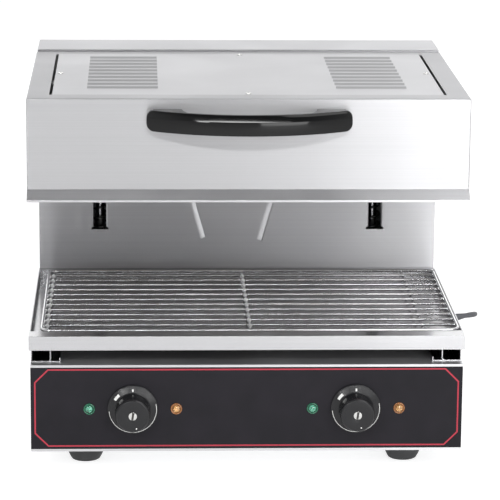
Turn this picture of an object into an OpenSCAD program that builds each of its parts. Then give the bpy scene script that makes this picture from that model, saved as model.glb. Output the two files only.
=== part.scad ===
// Lift salamander for melting and grilling: a heated hood that slides up and down
// on a rear column above a wire grid, a drip tray and a control box on rubber feet.
// +X is the user's right, -Y faces the user, +Z is up.
// The origin is on the worktop, under the middle of the appliance.

/* [Overall] */
// Width of the hood and of the drip tray
body_w = 600; // [560:1:680]
// Depth of the hood, from its front face to the column
hood_d = 400; // [394:1:440]
// Depth of the lift column
column_d = 92; // [88:1:120]
// Height of the column above the worktop
total_h = 532; // [522:0.5:560]
// Thickness of the sheet steel
sheet = 1.5; // [1:0.1:2]

/* [Control box] */
// Height of the rubber feet
foot_h = 34; // [26:1:45]
// Diameter of a foot where it meets the floor plate
foot_top_d = 56; // [50:1:64]
// Diameter of a foot where it meets the worktop
foot_bottom_d = 41; // [36:1:48]
// Distance of the feet from the side of the hood
foot_side = 76; // [60:1:100]
// Distance of the feet from the front and the rear
foot_end = 80; // [60:1:110]
// Height of the control box
base_h = 123.5; // [112:0.5:140]
// Inset of the control box on each side of the hood
base_inset = 2; // [0:0.5:6]
// Thickness of the printed fascia
fascia_t = 1.5; // [1:0.1:2]
// Bare steel edge under the fascia
fascia_foot = 3.5; // [2:0.5:6]
// Bare steel edge over the fascia
fascia_head = 3.3; // [0.5:0.1:6]
// Width of the flange that carries the floor plate
flange_w = 14; // [12:1:18]

/* [Controls] */
// Half the distance between the knobs
knob_x = 154; // [130:0.5:175]
// Distance of the knobs and lamps to the left of the middle
controls_left = 3.5; // [0:0.5:8]
// Height of the knobs above the underside of the box
knob_rise = 61; // [56:1:70]
// Diameter of the knob skirt
skirt_d = 69.5; // [60:0.5:80]
// Diameter of the knob cap at its root
cap_d = 47.5; // [42:0.5:54]
// Distance from the fascia to the face of the knob
knob_reach = 37.5; // [30:0.5:41]
// Diameter of the thermostat spindle
spindle_d = 6; // [5:0.5:8]
// Diameter of the threaded thermostat bush
bush_d = 10; // [9:0.5:12]
// Distance from a knob to each of its pilot lamps
lamp_pitch = 60; // [52:0.5:68]
// Diameter of a pilot lamp bezel
lamp_d = 16; // [14:0.5:20]

/* [Runners and tray] */
// Height of the runners that carry the drip tray
runner_h = 20.5; // [18:0.5:30]
// Distance of each runner web from the middle
runner_x = 270; // [255:1:280]
// Setback of the runners behind the front
runner_setback = 17; // [10:1:40]
// Height of the drip tray
tray_h = 20; // [18:0.5:28]
// Sheet thickness of the drip tray
tray_t = 1.2; // [1:0.1:1.6]
// Width of the folded rim at the sides of the tray
tray_side = 2; // [1.5:0.5:5]
// Width of the ledge at the front of the tray
ledge_front = 28.5; // [20:0.5:40]
// Width of the ledge at the rear of the tray
ledge_rear = 12.5; // [8:0.5:20]

/* [Wire grid] */
// Diameter of the frame wire
frame_wire = 5; // [4:0.5:6]
// Diameter of the long and the cross wires
bar_wire = 4; // [3:0.5:4.5]
// Number of spaces between the long wires
grid_gaps = 12; // [8:1:14]
// Space between the grid and the left side of the tray
grid_left = 12.5; // [3:0.5:20]
// Space between the grid and the right side of the tray
grid_right = 1; // [0.5:0.5:20]
// Bending radius at the corners of the grid
grid_corner = 12; // [8:1:20]
// Distance of the second cross wire from the left frame wire
grid_second = 7; // [6.5:0.5:30]

/* [Hood] */
// Height of the hood casing
hood_h = 123.5; // [115:0.5:140]
// Step between the top of the hood and the top of the column at rest
hood_step = 3.5; // [1:0.5:10]
// Running gap between the hood and the column
hood_gap = 1.5; // [1:0.1:4]
// Groove between the casing and the lower rim
seam = 1.6; // [0.8:0.1:3]
// Height of the lower rim
rim_h = 14.4; // [12:0.1:20]
// Distance that the front of the rim leans forwards
rim_flare = 14; // [8:0.5:20]
// Distance that the hood slides down
travel = 145; // [80:1:150]

/* [Top cover] */
// Distance of each slit from the middle
slit_x = 268; // [262:1:276]
// Width of the slits beside the cover
slit_w = 4; // [2:0.5:6]
// Distance from the front of the hood to the cover
cover_front = 31; // [26:1:50]
// Distance from the cover to the rear of the hood
cover_rear = 21.5; // [18:0.5:40]
// Length of a louvre
louvre_l = 97; // [80:1:110]
// Distance of the louvre groups from the middle
louvre_x = 171; // [140:1:185]
// Number of louvres in a group
louvre_n = 10; // [6:1:11]
// Distance between louvres
louvre_pitch = 28.3; // [18:0.1:28.8]
// Height of a louvre above the cover
louvre_rise = 2.6; // [1.5:0.1:4]

/* [Heating] */
// Diameter of the tubular heating elements
element_d = 8; // [6.5:0.5:9]
// Number of passes in an element, an even number
element_passes = 6; // [4:2:6]
// Distance between the passes
element_pitch = 56; // [40:1:58]
// Height of the element axis above the lower edge of the hood
element_rise = 28; // [24:1:32]
// Height of the reflector above the element axis
reflector_rise = 24; // [20:1:32]
// Diameter of the hanger rods under the elements
hanger_d = 4; // [3:0.5:5]

/* [Handle] */
// Length of the handle
handle_l = 277; // [220:1:340]
// Height of the handle bar
handle_h = 28; // [20:0.5:30]
// Thickness of the handle bar
handle_t = 12; // [10:0.5:15]
// Distance from the hood to the front of the handle
handle_reach = 56; // [50:0.5:64]
// Rise of the bow from its ends to its middle
handle_bow = 42; // [36:0.5:46]
// Distance of the handle axis below the top of the hood
handle_drop = 27.5; // [24:0.5:60]

/* [Lift] */
// Distance of the lift slots from the middle
slot_x = 207.5; // [180:0.5:225]
// Clear width of a lift slot
slot_w = 19.5; // [16:0.5:26]
// Height of the fold relief at the foot of a slot
relief_h = 3.5; // [2:0.5:6]
// Thickness of a lift arm
arm_t = 12; // [8:0.5:14]
// Height of a lift arm
arm_h = 30; // [24:1:36]
// Height of the arms above the lower edge of the casing
arm_rise = 8; // [8:1:14]
// Diameter of the guide rods
rod_d = 14; // [12:1:16]
// Distance of the guide rods behind the column panel
rod_back = 50; // [46:1:54]
// Wall of the slide bushes
bush_wall = 3; // [2:0.5:4]
// Height of the carriages
carriage_h = 60; // [50:1:70]
// Wire diameter of the counterbalance springs
spring_wire = 3; // [2.5:0.1:3.4]
// Number of turns in a spring
spring_turns = 16; // [12:1:18]

/* [Mains cord] */
// Diameter of the cord
cord_d = 7.5; // [6:0.1:9]
// Height of the cable gland above the underside of the box
gland_rise = 69.5; // [60:0.5:80]
// Distance of the gland from the rear of the box
gland_back = 22; // [20:1:40]
// Distance that the gland stands out of the box
gland_l = 37; // [30:1:45]

/* [Hidden] */
$fn = 48;
eps = 0.01;
run_gap = 0.3;
pin_gap = 0.05;
screw_gap = 0.25;
screw_d = 4;
screw_head_d = 8;
screw_head_h = 1.8;

half_w = body_w / 2;
base_x = half_w - base_inset;
column_inset = 1.5;
side_flange = 16;
flange_clear = 2;
bend_in = 0.5;
column_x = half_w - column_inset;
y_front = (handle_reach - hood_d - column_d - screw_head_h) / 2;
y_column = y_front + hood_d;
y_rear = y_column + column_d;

z_base = foot_h;
z_deck = z_base + base_h;
z_tray = z_deck + runner_h + run_gap;
z_grid = z_tray + tray_h;
z_cap = total_h - sheet;
z_hood = total_h - hood_step;
z_seam = z_hood - hood_h;
z_rim_top = z_seam - seam;
z_rim = z_rim_top - rim_h;
y_hood = y_column - hood_gap;

front_wall = fascia_t + sheet;
y_wall = y_front + front_wall;
z_knob = z_base + knob_rise;
thermostat_size = [46, 34, 42];
bush_front = 5;
nut_t = 3.2;
nut_d = 17;
nut_gap = 0.2;
bush_hole_d = bush_d + 0.6;
lamp_body_d = lamp_d - 6;
lamp_hole_d = lamp_body_d + 0.4;

bolt_d = 6;
bolt_head_h = 4;
bolt_nut_h = 5;
foot_recess_d = 18;
foot_recess_h = 10;

runner_t = 1.5;
runner_foot = 13;
runner_lip = 6;
runner_bend = 5;
cheek_setback = 6;

tray_hem = 6;
tray_rear_gap = 1.5;
y_tray = y_column - tray_rear_gap;

wire_sink = 0.5;
grid_seat = 2;
z_wire = z_grid - wire_sink;
grid_x0 = -half_w + tray_side + grid_left + frame_wire / 2;
grid_x1 = half_w - tray_side - grid_right - frame_wire / 2;
grid_y0 = y_front + ledge_front + grid_seat + frame_wire / 2;
grid_y1 = y_tray - ledge_rear - grid_seat - frame_wire / 2;
grid_pitch = (grid_y1 - grid_y0) / grid_gaps;
cross_drop = bar_wire;
cross_inset = 40;
weld_gap = 0.01;
grid_leg_d = bar_wire + 0.4;

cover_x = slit_x - slit_w / 2;
opening_x = slit_x + slit_w / 2;
y_cover0 = y_front + cover_front;
y_cover1 = y_hood - cover_rear;
cover_ledge = 14;
tab_w = 24;
tab_drop = 14;
cover_screws_y0 = y_cover0 + 8;
cover_screws_y1 = y_cover1 - 8;
louvre_d = 9;
louvre_slot = 5;
louvre_skin = 1;
louvre_y0 = (y_cover0 + y_cover1) / 2 - louvre_pitch * (louvre_n - 1) / 2;

rim_lap = 7;
rim_return = 8;
rim_step = sheet + 0.2;

z_element = z_rim + element_rise;
z_reflector = z_element + reflector_rise;
reflector_t = 1;
reflector_clear = 16;
reflector_x = half_w - reflector_clear;
reflector_y0 = y_front + reflector_clear;
reflector_y1 = y_hood - reflector_clear;
reflector_skirt = 20;
reflector_lean = 10;
element_y0 = (reflector_y0 + reflector_y1) / 2 - element_pitch * (element_passes - 1) / 2;
element_in = 42;
element_return = 50;
element_out = reflector_x - element_return;
tail_margin = 30;
element_tail_x = reflector_x - tail_margin;
tail_bend = 12;
tail_rise = 14;
stud_d = 4;
stud_rise = 22;
hanger_gap = 3;
hanger_in = 45;
hanger_out = 20;
z_hanger = z_element - element_d / 2 - hanger_d / 2 - 0.2;
bulb_d = 6;
bulb_l = 100;
bulb_drop = 7;
clip_x = 35;
clip_w = 8;
clip_t = 4;

z_handle = z_hood - handle_drop;
bow_r = (pow(handle_l / 2, 2) + pow(handle_bow, 2)) / (2 * handle_bow);
handle_edge = 5;
handle_pad_x = handle_l * 0.4;
handle_pad_w = 39;
handle_flare = 8;
handle_bite = 2.5;
handle_screw_d = 5;
handle_screw_l = 13.5;
washer_d = 10;
washer_t = 3;

z_arm = z_seam + arm_rise;
slot_z0 = z_arm - travel - 10;
slot_z1 = z_arm + arm_h + 25;
slot_flange = 12;
relief_w = slot_w + 6.5;
arm_foot = [34, 4, 44];
rod_hole_d = rod_d + 2 * pin_gap;
z_carriage = z_arm + arm_h / 2 - carriage_h / 2;
carriage_w = 44;
carriage_d = 40;
carriage_y = y_column + rod_back;
bush_out = rod_d + 2 * bush_wall;
bush_len = 18;
bracket_t = 3;
bracket_h = 18;
bracket_w = 44;
spring_r = rod_d / 2 + 2.6 + spring_wire / 2;
z_spring = z_deck + bracket_h + 0.2;
spring_l = z_carriage - 0.2 - z_spring;

rib_w = 10;
rib_depth = 2.2;
rib_tilt = 16;
rib_l = 92;
rib_x = 37;
rib_z = z_grid + 43;
rib_shift = -10;

cover_rows = 7;
vent_pitch = 12;
vent_l = 90;

z_gland = z_base + gland_rise;
y_gland = y_rear - gland_back;
gland_hex = 24;
gland_thread = 16;

// The cord leaves the gland, turns behind the box, falls to the worktop and runs into the coil.
cord_points = [
    [335, 251, 103.5], [343, 251, 103.5], [351, 251, 103.5], [360, 254, 103.5],
    [368, 260, 102.5], [374, 269, 101], [377, 280, 99], [378, 293, 96], [378, 307, 92],
    [376, 321, 88], [371, 335, 83], [363, 347, 77], [352, 356, 70],
    [339, 363, 62], [324, 368, 54], [308, 371, 46], [291, 373, 37],
    [274, 373, 28], [257, 373, 20], [240, 373, 13], [223, 373, 8],
    [206, 373, 5], [190, 373, 4], [176, 373, 4]
];
// The tail rises from the top of the coil to the plug that lies beside it.
tail_points = [
    [163, 367, 18], [151, 363, 19], [139, 359, 19], [127, 356, 18],
    [115, 354, 17], [103, 352, 16], [90, 350, 16]
];
cord_rings = 3;
coil_x = 176;
coil_y = 327;
coil_in = 35;
coil_out = 50;
coil_h = 22;
plug_end = tail_points[6];
plug_turn = atan2(plug_end[1] - tail_points[5][1], plug_end[0] - tail_points[5][0]);
plug_r = 16;
plug_l = 44;

// ---- shared shapes ----

// A box between two opposite corners
module block(lo, hi) {
    translate(lo) cube(hi - lo);
}

// A flat outline in (y, z) carried along X
module along_x(x0, x1) {
    translate([x0, 0, 0]) rotate([90, 0, 90]) linear_extrude(x1 - x0) children();
}

// A flat outline in (x, z) carried along Y
module along_y(y0, y1) {
    translate([0, y1, 0]) rotate([90, 0, 0]) linear_extrude(y1 - y0) children();
}

// A box of bent sheet: its upright and its top edges follow a bending radius
module bent_box(lo, hi, r) {
    mid = (lo + hi) / 2;
    size = hi - lo;
    intersection() {
        translate([mid[0], mid[1], lo[2]]) linear_extrude(size[2]) rounded(size[0], size[1], r);
        along_x(lo[0], hi[0]) translate([mid[1], mid[2] - r]) rounded(size[1], size[2] + 2 * r, r);
        along_y(lo[1], hi[1]) translate([mid[0], mid[2] - r]) rounded(size[0], size[2] + 2 * r, r);
    }
}

// A round bar that points up
module peg(at, d, h) {
    translate(at) cylinder(d = d, h = h);
}

// A round bar that points towards the rear
module peg_y(at, d, l) {
    translate(at) rotate([-90, 0, 0]) cylinder(d = d, h = l);
}

// A round bar that points to the right
module peg_x(at, d, l) {
    translate(at) rotate([0, 90, 0]) cylinder(d = d, h = l);
}

// Puts its children at both sides of the middle plane
module both_sides() {
    children();
    mirror([1, 0, 0]) children();
}

// A quarter or half ring of wire in the XY plane, centred on the origin
module bend(r, d, a0, a1) {
    rotate([0, 0, a0]) rotate_extrude(angle = a1 - a0) translate([r, 0]) circle(d = d, $fn = 24);
}

function unit(v) = v / norm(v);
function tangent(p, i) = unit(p[min(i + 1, len(p) - 1)] - p[max(i - 1, 0)]);
function ring(p, i, r, sides) =
    let (t = tangent(p, i), side = unit(cross(t, [0, 0, 1])), up = cross(side, t))
    [for (k = [0 : sides - 1]) p[i] + r * (cos(360 * k / sides) * side + sin(360 * k / sides) * up)];

// A round tube swept along a path that is never upright
module tube(path, r, sides) {
    n = len(path);
    points = [for (i = [0 : n - 1]) each ring(path, i, r, sides)];
    walls = [for (i = [0 : n - 2]) for (k = [0 : sides - 1]) for (t = [0, 1])
        let (a = i * sides + k, b = i * sides + (k + 1) % sides)
        t == 0 ? [a, b, b + sides] : [a, b + sides, a + sides]];
    ends = [[for (k = [sides - 1 : -1 : 0]) k], [for (k = [0 : sides - 1]) (n - 1) * sides + k]];
    polyhedron(points, concat(walls, ends), convexity = 6);
}

// A smooth curve through the chosen points, with extra rings between them
function spline(p, i, t) =
    let (a = p[max(i - 1, 0)], b = p[i], c = p[i + 1], d = p[min(i + 2, len(p) - 1)])
    0.5 * (2 * b + t * (c - a) + t * t * (2 * a - 5 * b + 4 * c - d) + t * t * t * (3 * b - a - 3 * c + d));
function smooth(p, steps) = concat(
    [for (i = [0 : len(p) - 2]) for (s = [0 : steps - 1]) spline(p, i, s / steps)],
    [p[len(p) - 1]]);

// ---- control box ----

function knob_at(s) = s * knob_x - controls_left;
function foot_spots() = [for (sx = [-1, 1]) for (y = [y_front + foot_end, y_rear - foot_end])
    [sx * (half_w - foot_side), y]];
function floor_screw_spots() = [for (sx = [-1, 1]) for (f = [0.08, 0.5, 0.92])
    [sx * (base_x - sheet - flange_w / 2), y_front + f * (y_rear - y_front)]];

module fascia_holes() {
    for (s = [-1, 1]) {
        peg_y([knob_at(s), y_front - 1, z_knob], bush_hole_d, front_wall + 2);
        for (l = [-1, 1])
            peg_y([knob_at(s) + l * lamp_pitch, y_front - 1, z_knob], lamp_hole_d, front_wall + 2);
    }
}

module base_shell() {
    color("silver") difference() {
        union() {
            difference() {
                block([-base_x, y_front, z_base], [base_x, y_rear, z_deck]);
                block([-base_x + sheet, y_wall, z_base - 1],
                      [base_x - sheet, y_rear - sheet, z_deck - sheet]);
            }
            difference() {
                block([-base_x + sheet / 2, y_wall - sheet / 2, z_base + sheet],
                      [base_x - sheet / 2, y_rear - sheet / 2, z_base + 2 * sheet]);
                block([-base_x + sheet + flange_w, y_wall + flange_w, z_base],
                      [base_x - sheet - flange_w, y_rear - sheet - flange_w, z_base + 3 * sheet]);
            }
        }
        block([-base_x - 1, y_front - 1, z_base + fascia_foot],
              [base_x + 1, y_front + fascia_t, z_deck - fascia_head]);
        fascia_holes();
        for (p = floor_screw_spots())
            peg([p[0], p[1], z_base], screw_d + 2 * screw_gap, 3 * sheet);
        peg_x([base_x - 2 * sheet, y_gland, z_gland], gland_thread + 2 * screw_gap, 3 * sheet);
        peg([0, carriage_y, z_deck - 2 * sheet], 30, 3 * sheet);
    }
}

module bottom_plate() {
    color("silver") difference() {
        block([-base_x + sheet + run_gap, y_wall + run_gap, z_base],
              [base_x - sheet - run_gap, y_rear - sheet - run_gap, z_base + sheet]);
        for (p = foot_spots())
            peg([p[0], p[1], z_base - 1], bolt_d + 2 * screw_gap, sheet + 2);
        for (p = floor_screw_spots())
            peg([p[0], p[1], z_base - 1], screw_d + 2 * screw_gap, sheet + 2);
        for (s = [-1, 1]) for (k = [0 : 6])
            block([s * 75 - 45, y_front + 150 + k * 2 * vent_pitch, z_base - 1],
                  [s * 75 + 45, y_front + 155 + k * 2 * vent_pitch, z_base + sheet + 1]);
    }
}

module bottom_screws() {
    color("gray") for (p = floor_screw_spots()) {
        peg([p[0], p[1], z_base - screw_head_h], screw_head_d, screw_head_h);
        peg([p[0], p[1], z_base - eps], screw_d, 2 * sheet + 4);
    }
}

module control_panel() {
    color([0.17, 0.16, 0.18]) difference() {
        block([-base_x, y_front, z_base + fascia_foot],
              [base_x, y_front + fascia_t, z_deck - fascia_head]);
        fascia_holes();
    }
}

module foot(i) {
    p = foot_spots()[i];
    r0 = foot_bottom_d / 2;
    r1 = foot_top_d / 2;
    side = [for (u = [0 : 0.125 : 1]) [r0 + (r1 - r0) * sin(90 * u), foot_h * (0.06 + 0.6 * u)]];
    color([0.22, 0.22, 0.22]) translate([p[0], p[1], 0]) rotate_extrude() polygon(concat(
        [[foot_recess_d / 2, 0], [r0 - 2.4, 0], [r0 - 1, 0.4], [r0 - 0.3, 1.1]],
        side,
        [[r1, foot_h], [bolt_d / 2 + screw_gap, foot_h], [bolt_d / 2 + screw_gap, foot_recess_h],
         [foot_recess_d / 2, foot_recess_h]]));
}

module foot_front_left() foot(0);
module foot_rear_left() foot(1);
module foot_front_right() foot(2);
module foot_rear_right() foot(3);

module foot_bolts() {
    color("gray") for (p = foot_spots()) {
        translate([p[0], p[1], foot_recess_h - bolt_head_h]) cylinder(d = 13, h = bolt_head_h, $fn = 6);
        peg([p[0], p[1], foot_recess_h - eps], bolt_d, foot_h - foot_recess_h + sheet + bolt_nut_h + 1);
        translate([p[0], p[1], z_base + sheet]) cylinder(d = 12, h = bolt_nut_h, $fn = 6);
    }
}

// ---- thermostats, knobs and lamps ----

module thermostat(s) {
    size = thermostat_size;
    color("gainsboro") difference() {
        union() {
            block([knob_at(s) - size[0] / 2, y_wall, z_knob - size[2] / 2],
                  [knob_at(s) + size[0] / 2, y_wall + size[1], z_knob + size[2] / 2]);
            peg_y([knob_at(s), y_front - bush_front, z_knob], bush_d, bush_front + front_wall + 1);
        }
        peg_y([knob_at(s), y_front - bush_front - 1, z_knob], spindle_d + 2 * pin_gap,
              bush_front + front_wall + 15);
    }
}

module thermostat_left() thermostat(-1);
module thermostat_right() thermostat(1);

module thermostat_nuts() {
    color("gray") for (s = [-1, 1]) difference() {
        translate([knob_at(s), y_front, z_knob]) rotate([90, 0, 0]) cylinder(d = nut_d, h = nut_t, $fn = 6);
        peg_y([knob_at(s), y_front - nut_t - 1, z_knob], bush_d + nut_gap, nut_t + 2);
    }
}

module spindle(s) {
    back = y_wall + 13.5;
    front = y_front - knob_reach + 9;
    color("silver") peg_y([knob_at(s), front, z_knob], spindle_d, back - front);
}

module spindle_left() spindle(-1);
module spindle_right() spindle(1);

module knob(s) {
    r_bore = spindle_d / 2 + pin_gap;
    r_skirt = skirt_d / 2;
    r_cap = cap_d / 2;
    color([0.2, 0.2, 0.2]) translate([knob_at(s), y_front, z_knob]) rotate([90, 0, 0])
        rotate_extrude($fn = 72) polygon([
            [0, knob_reach - 8.7], [r_bore, knob_reach - 8.7], [r_bore, 7], [r_cap - 8, 7],
            [r_cap - 8, 1.2], [r_skirt - 1.2, 1.2], [r_skirt, 2.4], [r_skirt, 3.6],
            [r_cap + 2, 7.6], [r_cap, 9], [r_cap - 0.7, knob_reach - 2.4], [r_cap - 1.3, knob_reach - 0.8],
            [r_cap - 2.6, knob_reach], [6.2, knob_reach], [6.2, knob_reach - 1.6],
            [0, knob_reach - 1.6]]);
}

module knob_left() knob(-1);
module knob_right() knob(1);

module knob_screw(s) {
    color("lightgray") translate([knob_at(s), y_front - knob_reach + 1.6, z_knob]) rotate([90, 0, 0])
        difference() {
            cylinder(d = 11.5, h = 2);
            rotate([0, 0, 105]) translate([-8, -0.9, 1]) cube([16, 1.8, 3]);
        }
}

module knob_screw_left() knob_screw(-1);
module knob_screw_right() knob_screw(1);

module lamp(x, tint) {
    r = lamp_d / 2;
    rb = lamp_body_d / 2;
    color(tint) translate([x, y_front, z_knob]) rotate([90, 0, 0]) rotate_extrude($fn = 40) polygon([
        [0, -24], [rb, -24], [rb, 0], [r, 0], [r, 1.2], [r - 1, 2.2], [r - 2, 2.2],
        [r - 2.6, 1.4], [rb + 0.2, 1.4], [rb, 2.6], [rb - 1.6, 4], [0, 4.6]]);
}

module lamp_green_left() lamp(knob_at(-1) - lamp_pitch, "seagreen");
module lamp_amber_left() lamp(knob_at(-1) + lamp_pitch, "orange");
module lamp_green_right() lamp(knob_at(1) - lamp_pitch, "seagreen");
module lamp_amber_right() lamp(knob_at(1) + lamp_pitch, "orange");

// ---- mains connection ----

module terminal_block() {
    lo = [half_w - foot_side - 80, y_gland - 60, z_base + sheet];
    color("ivory") difference() {
        block(lo, lo + [60, 26, 24]);
        for (k = [0 : 4]) peg([lo[0] + 8 + 11 * k, lo[1] + 13, lo[2] + 14], 6, 12);
    }
}

module cable_gland() {
    tip = gland_l;
    color([0.15, 0.15, 0.15]) translate([base_x, y_gland, z_gland]) rotate([0, 90, 0]) {
        cylinder(d = gland_hex, h = 6, $fn = 6);
        rotate_extrude() polygon([
            [0, -sheet - 9], [gland_thread / 2, -sheet - 9], [gland_thread / 2, 5], [10, 5],
            [10, 14], [8.4, 16], [cord_d / 2 + 1.3, tip], [0, tip]]);
        translate([0, 0, -sheet - 5]) cylinder(d = gland_hex, h = 5, $fn = 6);
    }
}

module mains_cord() {
    color([0.25, 0.25, 0.26]) {
        tube(smooth(cord_points, cord_rings), cord_d / 2, 8);
        tube(smooth(tail_points, 2), cord_d / 2, 8);
    }
}

module cord_coil() {
    color([0.25, 0.25, 0.26]) translate([coil_x, coil_y, 0]) rotate_extrude()
        translate([coil_in, 0]) square([coil_out - coil_in, coil_h]);
}

module mains_plug() {
    color([0.2, 0.2, 0.2]) translate(plug_end) rotate([0, 0, plug_turn]) rotate([0, 90, 0]) {
        rotate_extrude() polygon([
            [0, 0], [cord_d / 2 + 1, 0], [cord_d / 2 + 2.4, 16], [plug_r - 4, 20],
            [plug_r, 26], [plug_r, plug_l], [0, plug_l]]);
        for (s = [-1, 1]) translate([0, s * 9.5, plug_l - eps]) cylinder(d = 4.8, h = 19);
    }
}

// ---- runners, tray and grid ----

// A folded rail: a lipped foot, a web, a flange under the tray and a cheek flush with the box
module runner(s) {
    r = runner_bend;
    t = runner_t;
    flange = base_x - runner_x;
    color("silver") mirror([s < 0 ? 1 : 0, 0, 0])
        along_y(y_front + runner_setback, y_column - 3) {
            translate([runner_x, z_deck]) difference() {
                translate([flange, runner_h / 2]) rounded(2 * flange, runner_h, r);
                translate([flange, runner_h / 2]) rounded(2 * (flange - t), runner_h - 2 * t, r - t);
                translate([flange, -1]) square([2 * flange, runner_h + 2]);
            }
            translate([runner_x - runner_foot, z_deck]) square([runner_foot + r, t]);
            translate([runner_x - runner_foot, z_deck]) square([t, runner_lip]);
        }
    color("silver") mirror([s < 0 ? 1 : 0, 0, 0])
        along_y(y_front + runner_setback + cheek_setback, y_column - 3)
            translate([base_x - t, z_deck]) square([t, runner_h]);
}

module runner_left() runner(-1);
module runner_right() runner(1);

module drip_tray() {
    color("lightgray") difference() {
        block([-half_w, y_front, z_tray], [half_w, y_tray, z_grid]);
        block([-half_w + tray_side, y_front + ledge_front, z_grid - tray_hem - 1],
              [half_w - tray_side, y_tray - ledge_rear, z_grid + 1]);
        block([-half_w + tray_t, y_front + ledge_front, z_tray + tray_t],
              [half_w - tray_t, y_tray - ledge_rear, z_grid - tray_hem]);
        block([-half_w + tray_t, y_front + tray_t, z_tray - 1],
              [half_w - tray_t, y_front + ledge_front - tray_t, z_grid - tray_t]);
        block([-half_w + tray_t, y_tray - ledge_rear + tray_t, z_tray - 1],
              [half_w - tray_t, y_tray - tray_t, z_grid - tray_t]);
    }
}

// The frame wire that goes round the grid, bent from one rod
module grid_frame() {
    r = grid_corner;
    wide = grid_x1 - grid_x0;
    deep = grid_y1 - grid_y0;
    color("whitesmoke") translate([grid_x0, grid_y0, z_wire]) {
        for (y = [0, deep]) peg_x([r, y, 0], frame_wire, wide - 2 * r);
        for (x = [0, wide]) peg_y([x, r, 0], frame_wire, deep - 2 * r);
        translate([r, r, 0]) bend(r, frame_wire, 180, 270);
        translate([wide - r, r, 0]) bend(r, frame_wire, 270, 360);
        translate([wide - r, deep - r, 0]) bend(r, frame_wire, 0, 90);
        translate([r, deep - r, 0]) bend(r, frame_wire, 90, 180);
    }
}

// How far the frame wire has bent inwards from the front or rear at a place along X
function frame_bend(x) =
    let (dx = min(x - grid_x0, grid_x1 - x), r = grid_corner)
    dx >= r ? 0 : r - sqrt(r * r - (r - dx) * (r - dx));

// The long wires end at the frame wire. Each cross wire lies under them between two legs,
// and the legs stand on the floor of the tray under the frame wire.
module wire_grid() {
    z_cross = z_wire - cross_drop - weld_gap;
    z_floor = z_tray + tray_t;
    z_leg = z_wire - frame_wire / 2 - weld_gap;
    color("whitesmoke") {
        for (k = [1 : grid_gaps - 1]) difference() {
            peg_x([grid_x0, grid_y0 + k * grid_pitch, z_wire], bar_wire, grid_x1 - grid_x0);
            for (x = [grid_x0, grid_x1])
                peg_y([x, grid_y0, z_wire], frame_wire + 2 * weld_gap, grid_y1 - grid_y0);
        }
        for (x = [grid_x0 + grid_second, (grid_x0 + grid_x1) / 2, grid_x1 - grid_second - cross_inset]) {
            y0 = grid_y0 + frame_bend(x);
            y1 = grid_y1 - frame_bend(x);
            past = grid_leg_d / 2 + weld_gap;
            peg_y([x, y0 + past, z_cross], bar_wire, y1 - y0 - 2 * past);
            for (y = [y0, y1]) peg([x, y, z_floor], grid_leg_d, z_leg - z_floor);
        }
    }
}

// ---- lift column ----

module column_side(s) {
    color("silver") mirror([s < 0 ? 1 : 0, 0, 0]) difference() {
        union() {
            block([column_x - sheet, y_column + sheet, z_deck], [column_x, y_rear - sheet, z_cap]);
            block([column_x - side_flange, y_rear - 2 * sheet, z_deck + bracket_h + flange_clear],
                  [column_x - sheet / 2, y_rear - sheet, z_cap - bracket_h - flange_clear]);
        }
        for (p = rear_screw_spots())
            peg_y([p[0], y_rear - 3 * sheet, p[1]], screw_d + 2 * screw_gap, 3 * sheet);
    }
}

module column_side_left() column_side(-1);
module column_side_right() column_side(1);

// A pressed ramp that sinks from its left edge to a sharp step at its right edge
module rib_shape(x, tilt, grow) {
    translate([x, y_column, rib_z]) rotate([0, tilt, 0]) linear_extrude(rib_l) polygon([
        [-grow, -grow / 2], [rib_w + grow, -grow / 2], [rib_w + grow, rib_depth + grow], [-grow, grow]]);
}

module lift_slot() {
    block([slot_x - slot_w / 2, y_column - 1, slot_z0], [slot_x + slot_w / 2, y_column + sheet + 1, slot_z1]);
    block([slot_x - relief_w / 2, y_column - 1, slot_z0],
          [slot_x + relief_w / 2, y_column + sheet + 1, slot_z0 + relief_h]);
    for (e = [-1, 1]) translate([slot_x + e * slot_w / 2, y_column, slot_z0 + relief_h])
        linear_extrude(slot_z1 - slot_z0 - relief_h)
            polygon([[-e, -1], [e * 2.6, -1], [e * 1.6, 0], [0, sheet * 0.7], [-e, sheet * 0.7]]);
}

module column_panel() {
    color("lightgray") {
        difference() {
            union() {
                block([-column_x, y_column, z_deck], [column_x, y_column + sheet, z_cap]);
                rib_shape(rib_shift - rib_x - rib_w, -rib_tilt, sheet);
                rib_shape(rib_shift + rib_x, rib_tilt, sheet);
            }
            block([-half_w, y_column - 5, z_deck - 1], [half_w, y_column, z_cap + 1]);
            rib_cut(rib_shift - rib_x - rib_w, -rib_tilt);
            rib_cut(rib_shift + rib_x, rib_tilt);
            both_sides() lift_slot();
        }
        both_sides() for (e = [-1, 1])
            block([slot_x + e * slot_w / 2 - (e < 0 ? sheet : 0), y_column + sheet * 0.8, slot_z0 + relief_h],
                  [slot_x + e * slot_w / 2 + (e > 0 ? sheet : 0), y_column + slot_flange, slot_z1]);
    }
}

module rib_cut(x, tilt) {
    translate([x, y_column, rib_z]) rotate([0, tilt, 0]) translate([0, 0, sheet])
        linear_extrude(rib_l - 2 * sheet) polygon([[0, 0], [0, -1], [rib_w, -1], [rib_w, rib_depth]]);
}

module column_top() {
    color("gainsboro") block([-column_x, y_column, z_cap], [column_x, y_rear, total_h]);
}

function rear_screw_spots() = [for (sx = [-1, 1]) for (f = [0.12, 0.37, 0.63, 0.88])
    [sx * (column_x - 8), z_deck + f * (z_cap - z_deck)]];

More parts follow.
